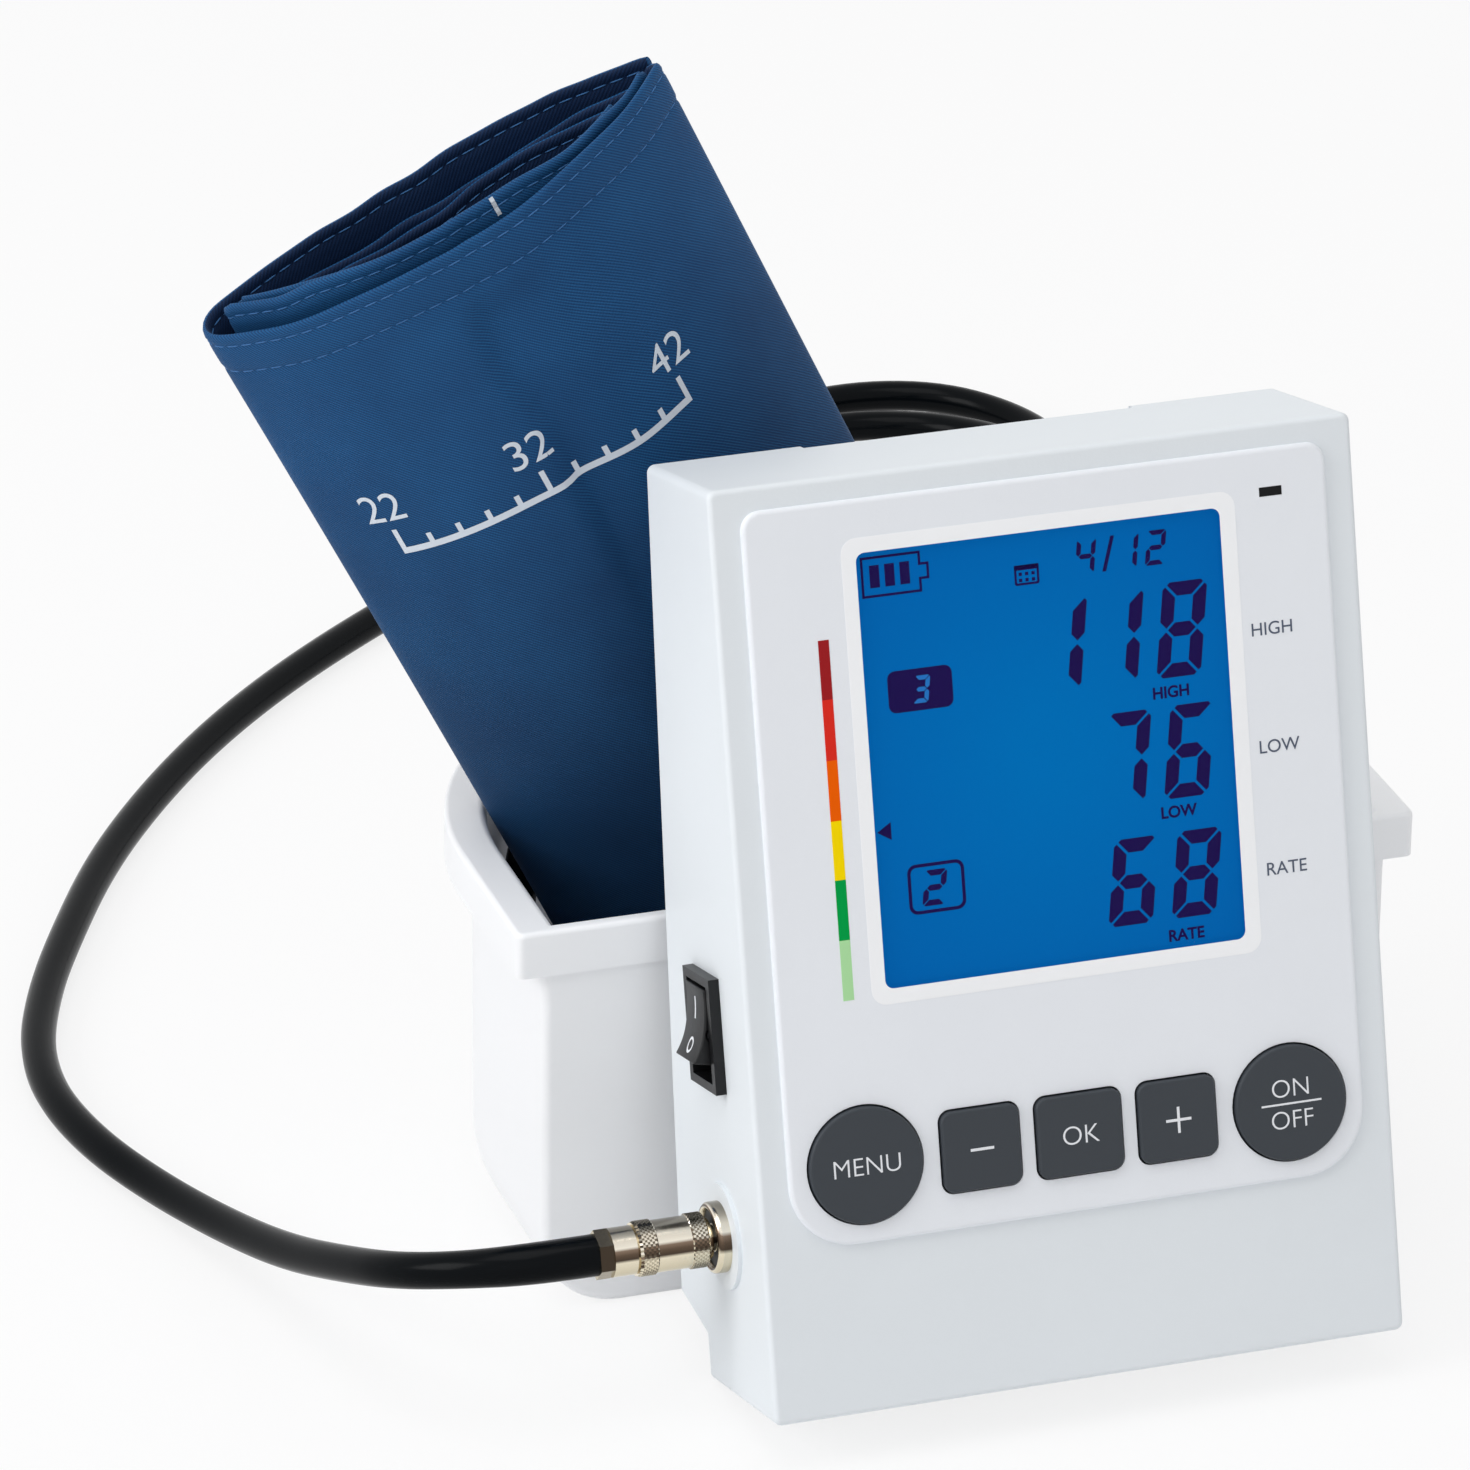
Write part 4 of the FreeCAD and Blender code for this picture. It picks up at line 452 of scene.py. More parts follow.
strip_colours = ramp_node(mat_nodes, [(step / len(strip_list), colour) for step, colour in enumerate(strip_list)])
strip_colours.color_ramp.interpolation = "CONSTANT"
links.new(strip_share.outputs["Result"], strip_colours.inputs["Fac"])
links.new(strip_colours.outputs["Color"], mat_nodes["Group"].inputs["Colour"])
strip = block(strip_left, strip_low, strip_right, strip_high)
print_piece("scale_strip", [strip], plate_face, scale_strip, "unit")
label_grey = moulded("label_grey", srgb(70, 80, 100), 0.5, drift=0.1)
for name, words, rise in (("label_high", "HIGH", 129.15), ("label_low", "LOW", 107.9),
                          ("label_rate", "RATE", 85.7)):
    face_words(name, words, 42.4, rise, 2.3, plate_face, label_grey, "unit")

# Push buttons: two round and three square dark grey caps in the plate, with white printed signs.
# Satin moulded plastic with soft edges, each sliding on its own switch.

button_grey = moulded("button_grey", srgb(56, 61, 67), 0.5, Specular_IOR_Level=0.3)
dress(button_grey, "mode_button", "minus_button", "set_button", "plus_button", "start_button")
button_face, button_rise = -2.0, 42.8
print_white = moulded("print_white", srgb(232, 234, 238), 0.5, drift=0.06)
for name, words, x, above, height, body in (("menu_print", "MENU", -40.2, 0, 3.3, "mode_button_body"),
                                            ("set_print", "OK", 0, 0, 3.4, "set_button_body"),
                                            ("on_print", "ON", 40.2, 2.9, 3.3, "start_button_body"),
                                            ("off_print", "OFF", 40.2, -2.9, 3.3, "start_button_body")):
    face_words(name, words, x, button_rise + above, height, button_face, print_white, body,
               weight=-0.06)


def bar(x, width, height):
    """Outline of a bar across a button's middle."""
    return block(x - width / 2, button_rise - height / 2, x + width / 2, button_rise + height / 2)


plus_arms = [bar(18.6, 4.8, 0.5), block(18.35, button_rise + 0.25, 18.85, button_rise + 2.4),
             block(18.35, button_rise - 2.4, 18.85, button_rise - 0.25)]
for name, outlines, body in (("start_line", [bar(40.2, 11.5, 0.35)], "start_button_body"),
                             ("minus_sign", [bar(-18.6, 4.4, 0.5)], "minus_button_body"),
                             ("plus_sign", plus_arms, "plus_button_body")):
    print_piece(name, outlines, button_face, print_white, body)

# Indicator lens: a small dark light pipe pressed in at the top right of the plate.
# Smoked acrylic with a polished front.

dress(moulded("lens_dark", srgb(15, 15, 17), 0.3, Specular_IOR_Level=0.15), "indicator_lens")

# Rocker switch in the left side: a black bezel and a dished rocker that clips on the pin across it.
# Moulded nylon, with a printed bar on the upper half and a ring on the lower one.

switch_black = moulded("switch_black", srgb(20, 21, 23), 0.36, Specular_IOR_Level=0.3)
dress(switch_black, "switch_housing")
rocker_pin, rocker_tilt = (-0.061, 0.022, 0.0657), math.radians(12)
rocker_frame = monitor_frame @ Matrix.Translation(rocker_pin) @ Matrix.Rotation(rocker_tilt, 4, "Y")
rocker_upper_reach, rocker_lower_reach, rocker_half_width = 7.9, 5.5, 5.3
rocker_front, rocker_dish, rocker_mark_lift = -3.137, 1.2, 0.03
skirt_depth, skirt_top, clip_depth, clip_half, clip_radius = 1, 8.314, 5, 3.95, 1.27


def dish_depth(rise):
    """How far out the rocker's dished face lies at a height from its pin."""
    reach = rocker_upper_reach if rise > 0 else rocker_lower_reach
    radius = (reach ** 2 + rocker_dish ** 2) / (2 * rocker_dish)
    return rocker_front + rocker_dish - radius + math.sqrt(radius ** 2 - rise ** 2)


dish_rises = [rocker_upper_reach * step / 10 for step in range(10, 0, -1)]
dish_rises += [-rocker_lower_reach * step / 10 for step in range(11)]
rocker_side = [(dish_depth(rise), rise) for rise in dish_rises]
rocker_side += [(skirt_depth, -rocker_lower_reach), (clip_depth, -clip_half), (clip_depth, -clip_radius)]
rocker_side += [(clip_radius * math.cos(math.radians(turn)), clip_radius * math.sin(math.radians(turn)))
                for turn in (270, 240, 210, 180, 150, 120, 90)]
rocker_side += [(clip_depth, clip_radius), (clip_depth, clip_half), (skirt_depth, skirt_top)]
rocker_bm = bmesh.new()
walls = [[rocker_bm.verts.new(rocker_frame @ (Vector((x, depth, rise)) / 1000)) for x, rise in rocker_side]
         for depth in (-rocker_half_width, rocker_half_width)]
for wall in walls:
    rocker_bm.faces.new(wall)
for a in range(len(rocker_side)):
    b = (a + 1) % len(rocker_side)
    face = rocker_bm.faces.new((walls[0][a], walls[0][b], walls[1][b], walls[1][a]))
    face.smooth = a < len(dish_rises) - 1
rocker = mesh_piece("rocker_cap", rocker_bm, switch_black)
rocker_edges = rocker.modifiers.new("soft_edges", "BEVEL")
rocker_edges.width = 0.00035
rocker_edges.segments = 3
rocker_edges.limit_method = "ANGLE"
rocker_edges.angle_limit = math.radians(40)
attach(rocker, "rocker_body")
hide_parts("rocker")


def rocker_mark(name, rows):
    """Printed strip on the dished face, from rows of places across and up it."""
    bm = bmesh.new()
    lines = [[bm.verts.new(rocker_frame @ (Vector((dish_depth(rise) - rocker_mark_lift, across, rise)) / 1000))
              for across, rise in row] for row in rows]
    for low, high in zip(lines, lines[1:]):
        for a in range(len(low) - 1):
            bm.faces.new((low[a], low[a + 1], high[a + 1], high[a]))
    piece = mesh_piece(name, bm, print_white)
    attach(piece, "rocker_body")


rocker_mark("rocker_on_bar", [[(across, 1.9 + 0.5 * step) for step in range(9)] for across in (-0.32, 0.32)])
ring_turns = [2 * math.pi * step / 28 for step in range(29)]
rocker_mark("rocker_off_ring", [[(1.3 * share * math.cos(turn), -2.9 + 1.5 * share * math.sin(turn))
                                 for turn in ring_turns] for share in (1.0, 0.66)])

# Air socket and quick coupler on the left side: turned brass, nickel plated and a little warm with age.
# The collar has two knurled bands and slides back to let the hose go. A hex nut clamps the hose.


def painted_reflection_plating(name, roughness, reflection_tones):
    """Plated metal with painted reflections: bands of light and dark painted into its colour by which way the surface
    faces.
    """
    material = moulded(name, reflection_tones[0][1], roughness, grain=1100, drift=0.15, Metallic=1.0)
    mat_nodes, links = material.node_tree.nodes, material.node_tree.links
    facing = mat_nodes.new("ShaderNodeTexCoord")
    upward = mat_nodes.new("ShaderNodeSeparateXYZ")
    links.new(facing.outputs["Normal"], upward.inputs["Vector"])
    share = mat_nodes.new("ShaderNodeMapRange")
    set_inputs(share, From_Min=-1.0)
    links.new(upward.outputs["Z"], share.inputs["Value"])
    tone = ramp_node(mat_nodes, reflection_tones)
    links.new(share.outputs["Result"], tone.inputs["Fac"])
    links.new(tone.outputs["Color"], mat_nodes["Group"].inputs["Colour"])
    return material


# Both platings paint reflections into their colour: light and dark bands set by which way each face points.
plating_painted_reflection = painted_reflection_plating("brass_painted_reflection", 0.2, [
    (0.1, srgb(196, 186, 160)), (0.5, srgb(230, 220, 196)), (0.56, srgb(74, 62, 52)), (0.66, srgb(96, 80, 66)),
    (0.74, srgb(132, 112, 96)), (0.79, srgb(238, 231, 216)), (0.88, srgb(220, 212, 197)), (0.95, srgb(172, 165, 152)),
    (1.0, srgb(146, 140, 129))])
# The darker plating goes on the nut, and on every other knurled face as painted shade in the knurl's hollows.
dark_plating_painted_shade = painted_reflection_plating("dark_plating_painted_shade", 0.28, [
    (0.1, srgb(140, 130, 108)), (0.5, srgb(196, 186, 162)), (0.58, srgb(58, 50, 42)), (0.72, srgb(84, 72, 60)),
    (0.85, srgb(128, 118, 102)), (1.0, srgb(104, 97, 86))])
dress(plating_painted_reflection, "hose_socket", "coupler_body")
dress(dark_plating_painted_shade, "coupler_nut")
collar_axis = monitor_frame @ Vector((0, 0.022, 0.0277))
collar_bore, collar_edge, collar_middle, collar_band = 3.76, 4.82, 4.75, 5.05
collar_start, collar_end = -64.3, -77.3
knurl_pitch, knurl_depth, knurl_points = 0.45, 0.32, 72


def knurled_band(start):
    """Profile of a knurled band from its start back."""
    return [(start - knurl_pitch * step, collar_band, 1 + step % 2) for step in range(7)]


collar_profile = [(collar_start, collar_edge, 0), *knurled_band(-64.5), (-67.4, collar_middle, 0),
                  (-73.8, collar_middle, 0), *knurled_band(-74.0), (collar_end, collar_edge, 0),
                  (collar_end, collar_bore, 0), (collar_start, collar_bore, 0)]


def turned_piece(name, profile, material, body):
    """Piece turned round the socket's axis from a closed profile of place, radius and knurl, in mm."""
    bm = bmesh.new()
    rings = []
    for x, radius, knurl in profile:
        ring = []
        for step in range(knurl_points):
            turn = 2 * math.pi * step / knurl_points
            reach = radius - (knurl_depth if knurl and (step + knurl) % 2 else 0)
            ring.append(bm.verts.new((x / 1000, collar_axis.y + reach / 1000 * math.cos(turn),
                                      collar_axis.z + reach / 1000 * math.sin(turn))))
        rings.append(ring)
    for a, ring in enumerate(rings):
        following = rings[(a + 1) % len(rings)]
        knurled = profile[a][2] or profile[(a + 1) % len(rings)][2]
        for step in range(knurl_points):
            ahead = (step + 1) % knurl_points
            face = bm.faces.new((ring[step], ring[ahead], following[ahead], following[step]))
            face.smooth = not knurled
            # Every other knurled face takes the darker plating: painted shade in the knurl's hollows.
            face.material_index = 1 if knurled and (a + step) % 2 else 0
    piece = mesh_piece(name, bm, material, dark_plating_painted_shade, hard_edge=math.radians(35))
    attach(piece, body)
    return piece


collar = turned_piece("knurled_collar", collar_profile, plating_painted_reflection, "release_collar_body")
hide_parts("release_collar")
lip_profile = [(-62.3, 6.5, 0), (-62.8, 6.45, 0), (-63.15, 6.15, 0), (-63.25, 5.8, 0), (-63.1, 5.45, 0),
               (-62.7, 5.25, 0), (-62.3, 5.2, 0)]
# A thin black disc inside the lip: a dark sheet standing in as painted shade for the socket's recess.
socket_shade_profile = [(-62.3, 5.2, 0), (-62.4, 5.15, 0), (-62.36, 2.6, 0), (-62.3, 2.6, 0)]
turned_piece("socket_lip", lip_profile, plating_painted_reflection, "unit")
turned_piece("socket_shade_disc", socket_shade_profile, inner_black, "unit")

# Bracket and cuff basket: glossy white moulded plastic, open at the top.
# The bracket is bolted to the back of the housing and screwed to the basket's wall.

basket_white = moulded("basket_white", srgb(248, 249, 251), 0.4, grain=220, drift=0.02, depth=0.00002)
dress(basket_white, "basket", "basket_bracket")

# Rolled cuff: one long thin band of navy twill with stitched hems, wound flat into a lens-shaped roll.
# Its inside faces are painted darker as painted shade inside the roll; it has a range line printed outside, and
# stands askew in the basket.
# Its elbow port takes the hose.

roll_sides = 11
roll_front, roll_back, roll_fold = 56.0, 130.0, 7.6
roll_fold_offset, roll_pitch = 39.0, 2.9
inner_end_share = 0.92
roll_lean = math.radians(26)
cuff_width, roll_span = 198.0, 92.5
cuff_base = Vector((-40.4, 2.0, 3.3))
roll_shift = (88.7396, 4.2197)
tuck_radius, tuck_length = 5.8, 3.6
layer_shifts = [0.0, 0.0, 1.5, 1.6, 3.0, -0.2]


def roll_stations(step):
    """Evenly spaced stations along the roll: arc number, place (u, v), direction out of the roll, and run."""
    front_half = math.asin(roll_fold_offset / (roll_front - roll_fold))
    back_half = math.asin(roll_fold_offset / (roll_back - roll_fold))
    fold_sweep = math.pi - front_half - back_half
    back_share = math.cos(front_half) / (2 * (math.cos(front_half) + math.cos(back_half)))
    front_share = 0.5 - back_share
    sides = [(roll_back, 2 * back_half, back_share), (roll_fold, fold_sweep, back_share),
             (roll_front, 2 * front_half, front_share), (roll_fold, fold_sweep, front_share)]
    place = Vector((0.0, 0.0))
    heading = math.pi - back_half
    shrink = -roll_pitch * back_share
    tuck_centre = Vector((-math.sin(heading), math.cos(heading))) * tuck_radius
    stations = []
    for number in range(int(tuck_length / step), 0, -1):
        angle = heading - math.pi / 2 - number * step / tuck_radius
        outward = Vector((math.cos(angle), math.sin(angle)))
        stations.append((-number * step / 100, tuck_centre + outward * tuck_radius, outward, -number * step))
    run, mark = 0.0, 0.0
    for number in range(roll_sides):
        radius, sweep, share = sides[number % 4]
        if number == roll_sides - 1:
            sweep *= inner_end_share
        shrink += roll_pitch * share
        radius -= shrink
        centre = place + Vector((-math.sin(heading), math.cos(heading))) * radius
        while mark <= run + radius * sweep:
            angle = heading - math.pi / 2 + (mark - run) / radius
            outward = Vector((math.cos(angle), math.sin(angle)))
            stations.append((number + (mark - run) / (radius * sweep), centre + outward * radius, outward, mark))
            mark += step
        run += radius * sweep
        heading += sweep
        last = heading - math.pi / 2
        place = centre + Vector((math.cos(last), math.sin(last))) * radius
    return stations, run


def cuff_point(u, v, w):
    """Row point of a place in the roll's own frame, in mm."""
    return (cuff_base + Vector((u * math.cos(roll_lean) - w * math.sin(roll_lean), v,
                                u * math.sin(roll_lean) + w * math.cos(roll_lean)))) / 1000


edge_lifts = [
    (-0.1, 1.0), (0, 0.7), (0.1, 1), (0.2, 1.5), (0.6, 0.2), (0.95, 1), (2.0, 0.8), (2.1, 1.2), (2.4, 3.3),
    (2.58, 3.0), (2.72, 4.2), (2.9, 3.3), (3.1, 2.7), (3.6, 1), (4.1, -3), (4.45, -6.5), (4.7, -6.5), (4.9, -4),
    (5.4, 2), (5.86, 3.5), (6.1, 4.6), (6.2, 6), (6.6, 6), (6.8, 4.4), (6.95, 3), (7.4, 1.5), (8.2, -4),
    (8.6, -8), (8.85, -6), (9.3, 0), (9.9, 3), (10.2, 5), (10.6, 5), (11, 2.5)]
crease_place, crease_depth, crease_left, crease_right = 44.2, 2.6, 2.6, 9.0
crease_start, crease_full, crease_hem = 112, 30, 188
bend_start, bend_length, bend_reach = 163, 28, 2.6
top_flare, inner_flare_less = 3.2, 2.2


def edge_lift(side):
    """How far the top edge of the band is drawn up out of the roll, or down into it, at an arc number."""
    for (before, low), (after, high) in zip(edge_lifts, edge_lifts[1:]):
        if side <= after:
            share = (side - before) / (after - before)
            return low + (high - low) * share * share * (3 - 2 * share)
    return edge_lifts[-1][1]


def layer_shift(side):
    """How far a layer is pressed against its neighbour at the roll's middle."""
    layer, within = int(side) // 2, side - int(side)
    if int(side) % 2 == 0 or layer + 1 >= len(layer_shifts):
        return layer_shifts[min(layer, len(layer_shifts) - 1)]
    return layer_shifts[layer] * (1 - within) + layer_shifts[layer + 1] * within


def band_place(side, place, outward, w, offset):
    """Row point on the band from an arc number, its place and direction, a height and a distance off its middle."""
    u, v = place.x + roll_shift[0], place.y + roll_shift[1]
    across = min(max(u / roll_span, 0), 1)
    ease = math.sin(math.pi * across) ** 2
    high = w / cuff_width
    height = w + edge_lift(side) * high
    wave = 0.3 * math.sin(u * 0.21 + height * 0.045) + 0.25 * math.sin(u * 0.09 - height * 0.11 + 1.3)
    wave += 0.3 * math.sin(u * 0.34 + 0.6) * max(high, 0) ** 6
    if outward.y < 0:
        bend = bend_reach * math.sin(math.pi * (height - bend_start) / bend_length) if height > bend_start else 0
        from_crease = u - (crease_place - bend)
        dent = from_crease / (crease_right if from_crease > 0 else crease_left)
        grown = min(max((height - crease_start) / crease_full, 0), 1)
        wave += crease_depth * math.exp(-dent * dent) * grown * (1 if height < crease_hem else 0.3)
    else:
        wave += 0.3 * math.sin(u * 0.5 + 0.4) * max(high, 0) ** 4
    v += ease * (wave + layer_shift(side))
    u -= (top_flare - inner_flare_less * min(max(side - 3, 0), 1)) * high ** 2 * (1 - across)
    return cuff_point(u + outward.x * offset, v + outward.y * offset, height)


band_step = 1.5
stations, band_length = roll_stations(band_step)
edge_rows = [0, 0.5, 1.2, 1.9, 2.2, 2.5, 3.0, 4.2, 5.8, 7.2, 7.7, 8.0, 8.3, 8.9, 11, 14]
middle_rows = [14 + 5 * step for step in range(1, 34)]
rows = edge_rows + middle_rows + [cuff_width - row for row in reversed(edge_rows)]
band_half, hem_extra, hem_width = 0.55, 0.12, 8.0
stitch_rows, stitch_draw, stitch_spread, edge_round = (2.2, 8.0), 0.22, 0.55, 1.2


def cloth_half(w):
    """Half thickness of the band at a height: doubled at the hems, drawn in at the stitch rows."""
    from_edge = min(w, cuff_width - w)
    half = band_half + (hem_extra if from_edge < hem_width else 0.0)
    for row in stitch_rows:
        half -= stitch_draw * math.exp(-((from_edge - row) / stitch_spread) ** 2)
    if from_edge < edge_round:
        half *= 0.35 + 0.65 * math.sqrt(from_edge / edge_round)
    return half


cuff_bm = bmesh.new()
cloth_map = cuff_bm.loops.layers.uv.new("cloth")
grid = {}
for column, (side, place, outward, _) in enumerate(stations):
    for row, w in enumerate(rows):
        for face_side in (1, -1):
            grid[column, row, face_side] = cuff_bm.verts.new(
                band_place(side, place, outward, w, face_side * cloth_half(w)))


def cloth_face(corners):
    """Face between corners of the grid, with its place on the flat cloth."""
    face = cuff_bm.faces.new([grid[corner] for corner in corners])
    face.smooth = True
    # Faces on the inside of the band take the second, darker material: painted shade inside the roll.
    face.material_index = 1 if all(corner[2] < 0 for corner in corners) else 0
    for loop, (column, row, _) in zip(face.loops, corners):
        loop[cloth_map].uv = (stations[column][3] / 1000, rows[row] / 1000)


for column in range(len(stations) - 1):
    for row in range(len(rows) - 1):
        cloth_face([(column, row, 1), (column + 1, row, 1), (column + 1, row + 1, 1), (column, row + 1, 1)])
        cloth_face([(column, row + 1, -1), (column + 1, row + 1, -1), (column + 1, row, -1), (column, row, -1)])
    top = len(rows) - 1
    cloth_face([(column, top, 1), (column + 1, top, 1), (column + 1, top, -1), (column, top, -1)])
    cloth_face([(column, 0, -1), (column + 1, 0, -1), (column + 1, 0, 1), (column, 0, 1)])
for column, order in ((0, 1), (len(stations) - 1, -1)):
    for row in range(len(rows) - 1):
        corners = [(column, row, -1), (column, row, 1), (column, row + 1, 1), (column, row + 1, -1)]
        cloth_face(corners[::order])
cuff = mesh_piece("arm_cuff", cuff_bm)


def twill_group():
    """Twill weave: slanted ribs crossed by finer threads, with slow changes of tone, and painted shade that makes it
    darker low down.
    """
    group, entry, leave = new_group("twill_weave", {"Hollow": "Color", "Rib": "Color", "Ribs per metre": "Float"},
                                    {"Colour": "Color", "Height": "Float"})
    made, wire = group.nodes, group.links
    cloth = made.new("ShaderNodeUVMap")
    cloth.uv_map = "cloth"

    def thread(direction, share):
        """Even ribs across a direction, from 0 in the hollows to 1 on top."""
        along = made.new("ShaderNodeVectorMath")
        along.operation = "DOT_PRODUCT"
        along.inputs[1].default_value = direction
        wire.new(cloth.outputs["UV"], along.inputs[0])
        ribs = math_step(group, "MULTIPLY", along.outputs["Value"], entry.outputs["Ribs per metre"])
        turns = math_step(group, "MULTIPLY", ribs, share)
        wave = math_step(group, "SINE", math_step(group, "MULTIPLY", turns, 2 * math.pi))
        return math_step(group, "MULTIPLY_ADD", wave, 0.5, 0.5)

    rib = math_step(group, "MULTIPLY", thread((0.707, 0.707, 0), 1.0), 0.7)
    cross = math_step(group, "MULTIPLY", thread((0.94, -0.34, 0), 1.7), 0.3)
    height = math_step(group, "ADD", rib, cross)
    tone = made.new("ShaderNodeTexNoise")
    set_inputs(tone, Scale=45, Detail=6)
    wire.new(cloth.outputs["UV"], tone.inputs["Vector"])
    shade = made.new("ShaderNodeMix")
    shade.data_type = "RGBA"
    lit = math_step(group, "MULTIPLY", height, math_step(group, "ADD", tone.outputs["Fac"], 0.35))
    wire.new(lit, shade.inputs["Factor"])
    wire.new(entry.outputs["Hollow"], shade.inputs["A"])
    wire.new(entry.outputs["Rib"], shade.inputs["B"])
    up_cloth = made.new("ShaderNodeSeparateXYZ")
    wire.new(cloth.outputs["UV"], up_cloth.inputs["Vector"])
    # Painted shade: the cloth's colour is darkened towards the bottom of the band, where the basket shades it.
    painted_low_shade = made.new("ShaderNodeMapRange")
    painted_low_shade.interpolation_type = "SMOOTHSTEP"
    set_inputs(painted_low_shade, From_Min=0.05, From_Max=0.18, To_Min=0.45)
    wire.new(up_cloth.outputs["Y"], painted_low_shade.inputs["Value"])
    shaded_colour = made.new("ShaderNodeHueSaturation")
    wire.new(shade.outputs["Result"], shaded_colour.inputs["Color"])
    wire.new(painted_low_shade.outputs["Result"], shaded_colour.inputs["Value"])
    wire.new(shaded_colour.outputs["Color"], leave.inputs["Colour"])
    wire.new(height, leave.inputs["Height"])
    return group


def twill(name, hollow, rib, ribs_per_metre):
    """Woven cloth material with a soft sheen."""
    material, mat_nodes, links = empty_material(name)
    shader = mat_nodes["Principled BSDF"]
    weave = mat_nodes.new("ShaderNodeGroup")
    weave.node_tree = twill_weave
    set_inputs(weave, Hollow=hollow, Rib=rib, Ribs_per_metre=ribs_per_metre)
    links.new(weave.outputs["Colour"], shader.inputs["Base Color"])
    add_relief(material, weave.outputs["Height"], 0.00012, 0.45)
    set_inputs(shader, Roughness=0.68, Specular_IOR_Level=0.2, Sheen_Weight=0.06, Sheen_Roughness=0.4,
               Sheen_Tint=srgb(120, 165, 225))
    return material


twill_weave = twill_group()
cuff.data.materials.append(twill("navy_twill", srgb(11, 46, 88), srgb(30, 97, 151), 2000))
# The inside material is painted darker: painted shade inside the roll.
cuff.data.materials.append(twill("painted_shade_inside", srgb(9, 26, 54), srgb(17, 48, 88), 1600))


def band_at(run, w, offset):
    """Row point on the band at a run along it, between its stations."""
    exact = min(max((run - stations[0][3]) / band_step, 0), len(stations) - 1.001)
    first, second = stations[int(exact)], stations[int(exact) + 1]
    share = exact - int(exact)
    return band_place(first[0] + (second[0] - first[0]) * share, first[1].lerp(second[1], share),
                      first[2].lerp(second[2], share).normalized(), w, offset)


thread_blue = moulded("thread_blue", srgb(64, 112, 166), 0.6, grain=3000, drift=0.3, Specular_IOR_Level=0.2)
stitch_bm = bmesh.new()
stitch_pitch, stitch_length, thread_half, end_margin = 3.2, 2.5, 0.14, 3
for from_edge in stitch_rows:
    for w in (from_edge, cuff_width - from_edge):
        for face_side in (1, -1):
            for number in range(int((band_length + tuck_length - 2 * end_margin) / stitch_pitch)):
                run = end_margin - tuck_length + number * stitch_pitch
                loops = []
                for share, thick in ((0, 0.35), (0.2, 1), (0.8, 1), (1, 0.35)):
                    middle = face_side * (cloth_half(w) + thread_half * (0.1 if thick < 1 else 0.45))
                    loops.append([stitch_bm.verts.new(band_at(
                        run + share * stitch_length, w + thread_half * thick * math.cos(turn * math.pi / 3),
                        middle + thread_half * thick * math.sin(turn * math.pi / 3))) for turn in range(6)])
                for near, far in zip(loops, loops[1:]):
                    for turn in range(6):
                        ahead = (turn + 1) % 6
                        stitch_bm.faces.new((near[turn], near[ahead], far[ahead], far[turn])).smooth = True
                stitch_bm.faces.new(loops[0])
                stitch_bm.faces.new(loops[-1])
stitches = mesh_piece("cuff_stitches", stitch_bm, thread_blue)
cloth_lift, patch_step = 0.07, 0.7


def cloth_at(run, w):
    """Row point a little off the woven outside of the band, between the corners of its mesh."""
    exact = (run - stations[0][3]) / band_step
    column = min(max(int(exact), 0), len(stations) - 2)
    row = max(number for number in range(len(rows) - 1) if rows[number] <= w)
    share, rise = exact - column, (w - rows[row]) / (rows[row + 1] - rows[row])
    near, far = [[band_place(*stations[number][:3], rows[level], cloth_half(rows[level]) + cloth_lift)
                  for level in (row, row + 1)] for number in (column, column + 1)]
    return near[0].lerp(near[1], rise).lerp(far[0].lerp(far[1], rise), share)


def cloth_print(name, patches, words, material):
    """Prints on the band's outside: patches between two runs and two heights, and words centred at a run."""
    bm = bmesh.new()
    for start, end, low, high in patches:
        columns = max(2, int((end - start) / patch_step) + 1)
        lines = max(2, int((high - low) / patch_step) + 1)
        spots = [[bm.verts.new(cloth_at(start + (end - start) * a / (columns - 1),
                                        low + (high - low) * b / (lines - 1)))
                  for b in range(lines)] for a in range(columns)]
        for near, far in zip(spots, spots[1:]):
            for b in range(lines - 1):
                bm.faces.new((near[b], far[b], far[b + 1], near[b + 1]))
    for word, run, w, height in words:
        draft_data = bpy.data.curves.new("draft", "FONT")
        draft_data.body = word
        draft_data.size = height / capital_share
        draft_data.align_x = "CENTER"
        draft = bpy.data.objects.new("draft", draft_data)
        draft_mesh = bpy.data.meshes.new_from_object(draft)
        draft_bm = bmesh.new()
        draft_bm.from_mesh(draft_mesh)
        bmesh.ops.subdivide_edges(draft_bm, edges=draft_bm.edges, cuts=3, use_grid_fill=True)
        bmesh.ops.triangulate(draft_bm, faces=draft_bm.faces)
        for vertex in draft_bm.verts:
            vertex.co = cloth_at(run + vertex.co.x, w + vertex.co.y)
        draft_bm.to_mesh(draft_mesh)
        draft_bm.free()
        bm.from_mesh(draft_mesh)
        bpy.data.objects.remove(draft)
        bpy.data.curves.remove(draft_data)
        bpy.data.meshes.remove(draft_mesh)
    return mesh_piece(name, bm, material)


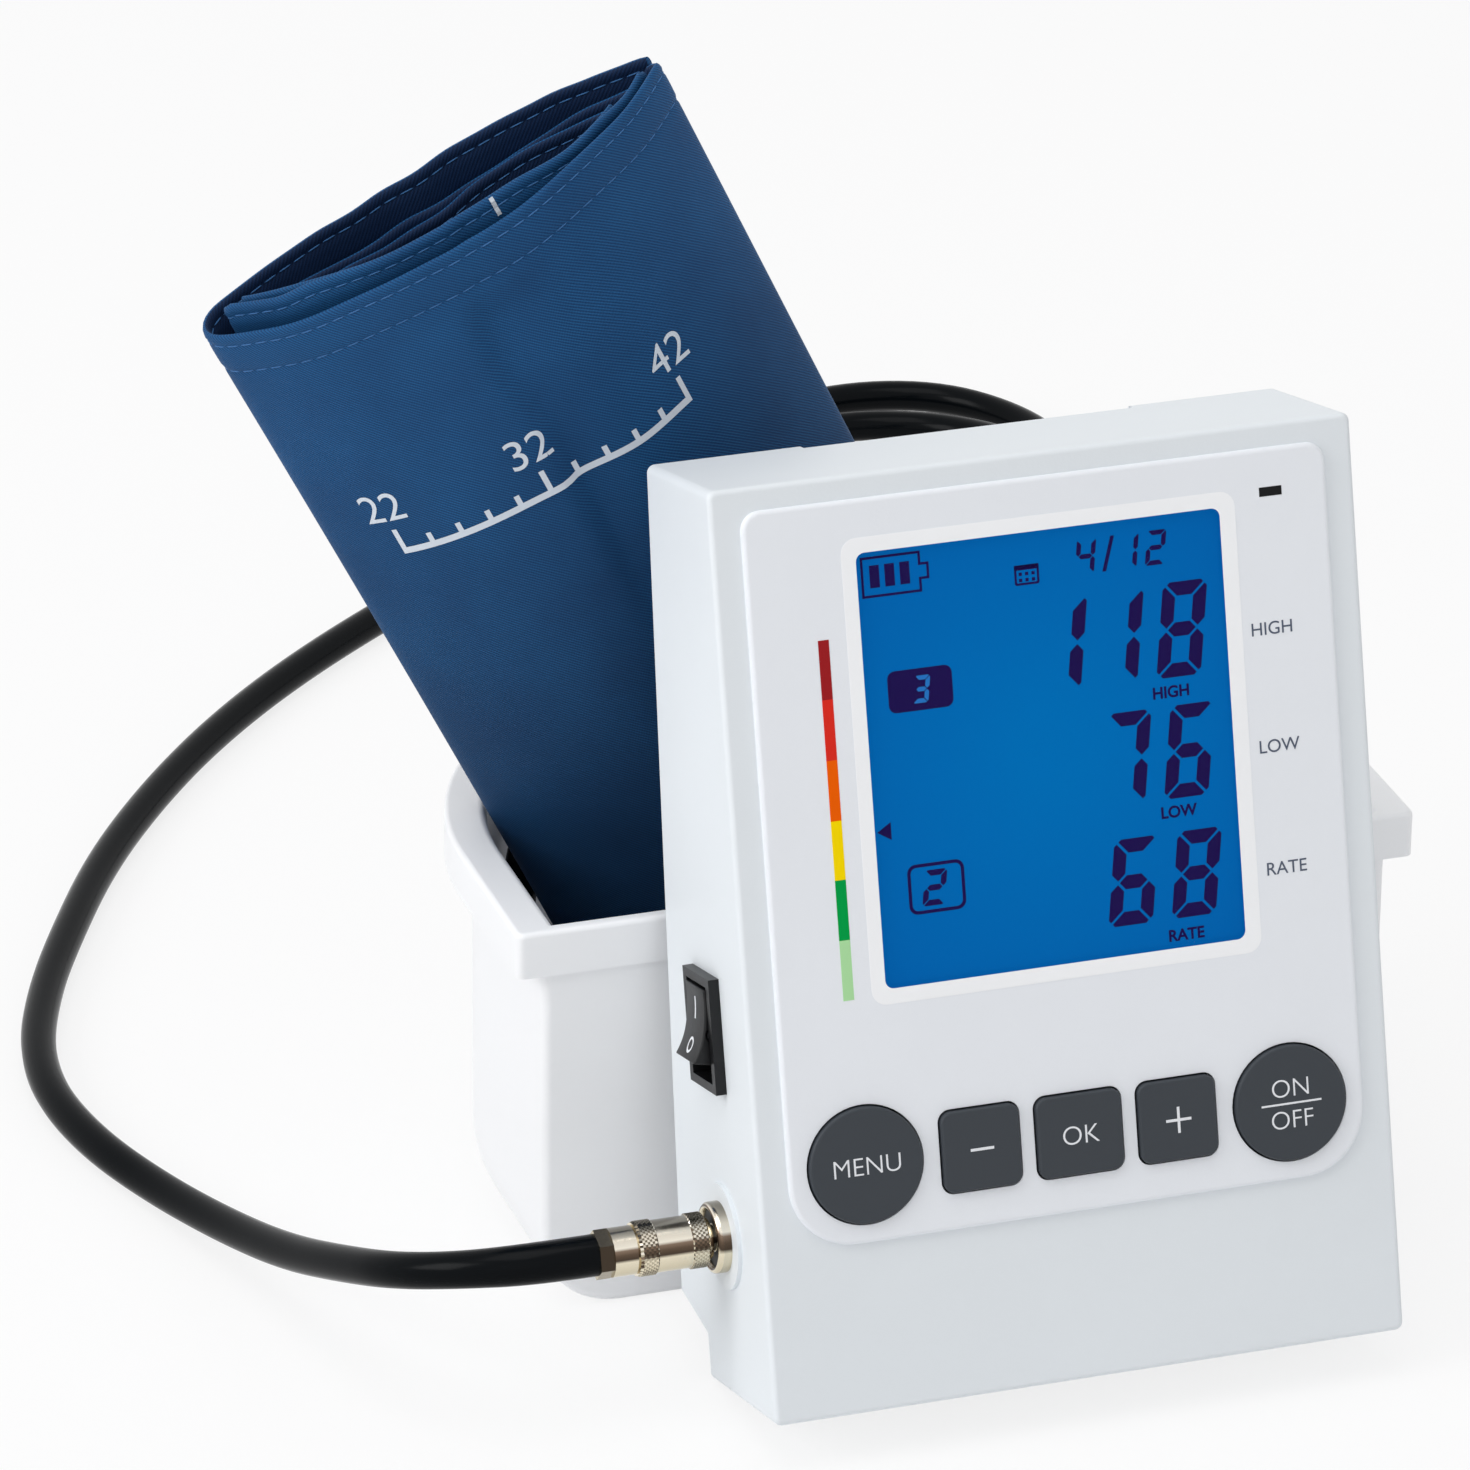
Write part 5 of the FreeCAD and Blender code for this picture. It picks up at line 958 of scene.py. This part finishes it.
cloth_white = moulded("cloth_white", srgb(214, 222, 232), 0.7, grain=2600, drift=0.3, depth=0.00006)
line_start, line_end, line_low, line_thick, tick_width = 110.0, 170.0, 146.0, 1.3, 1.0
line_marks = [(line_start, line_end, line_low, line_low + line_thick)]
for tenth in range(11):
    tick = line_start + (line_end - line_start - tick_width) * tenth / 10
    line_marks.append((tick, tick + tick_width, line_low + line_thick, line_low + (5.5 if tenth % 5 == 0 else 3.2)))
line_words = [(word, run, line_low + 7.5, 6.0)
              for word, run in (("22", line_start + 0.5), ("32", 139.8), ("42", line_end))]
range_line = cloth_print("range_line", line_marks, line_words, cloth_white)
tack_run = next(run for side, _, _, run in stations if side >= 6.55)
tack_thread = cloth_print("tack_thread", [(tack_run, tack_run + 0.8, 194.2, 197.8)], [], cloth_white)
for piece in (cuff, stitches, range_line, tack_thread):
    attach(piece, "unit")
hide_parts("cuff_band")
dress(inner_black, "cuff_port")

# Air hose: one black rubber tube from the coupler round the table to the cuff's elbow port.
# It is clamped under the coupler's nut and pushed on to the port.

hose_diameter, hose_height, clamped_swell = 0.0068, 3.5, 1.13
hose_on_table = [
    (-138, 11), (-145, 32), (-148, 54), (-145.5, 75), (-138, 97), (-129, 117), (-114, 147), (-96.5, 174), (-77, 199),
    (-55, 222), (-29, 244.5), (5, 270), (40, 295.5), (74, 319), (103, 331), (128, 325.5), (142, 305), (144, 280),
    (132.5, 258), (110, 245), (85, 245), (63, 259), (57, 284), (73, 305), (98, 316), (121, 309)]
hose_route = [
    (-84.5, -89.66, 33.26), (-96, -89.66, 33.26), (-107.8, -84.5, 31.3), (-116.8, -74.5, 27.4),
    (-121.7, -57.4, 20.7), (-126.5, -36.5, 13), (-131.5, -13, 7), *((x, y, hose_height) for x, y in hose_on_table),
    (133.5, 289, 6), (129, 265, 12), (114.5, 245, 17.5), (98, 228, 17.5), (84, 208, 11), (74, 186, 5),
    (66, 162, hose_height), (57, 139, 6), (47, 118, 17), (35, 98, 36.5), (22, 82, 58), (8, 69, 78), (-9, 58, 91),
    (-27, 46, 95), (-43, 35, 89), (-56, 25, 76), (-66, 15.5, 60), (-71.5, 1, 46), (-70, -15, 35), (-61, -30, 24),
    (-46, -39.5, 14), (-28, -41.5, 9), (-9, -38.5, 9), (10.676, -33.906, 15.874), (19.293, -27.587, 20.125)]
hose_data = bpy.data.curves.new("air_hose", "CURVE")
hose_data.dimensions = "3D"
hose_line = hose_data.splines.new("NURBS")
hose_line.points.add(len(hose_route) - 1)
for number, (point, (x, y, z)) in enumerate(zip(hose_line.points, hose_route)):
    point.co = (x / 1000, y / 1000, z / 1000, 1)
    point.radius = clamped_swell if number < 2 else 1.0
hose_line.order_u = 3
hose_line.use_endpoint_u = True
hose_line.resolution_u = 8
hose_data.bevel_depth = hose_diameter / 2
hose_data.bevel_resolution = 6
hose_data.use_fill_caps = True
hose = new_piece("air_hose", hose_data)
hose_data.materials.append(moulded("hose_rubber", srgb(8, 11, 14), 0.22, grain=700, drift=0.12,
                                    Specular_IOR_Level=0.06))
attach(hose, "unit")
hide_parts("hose")
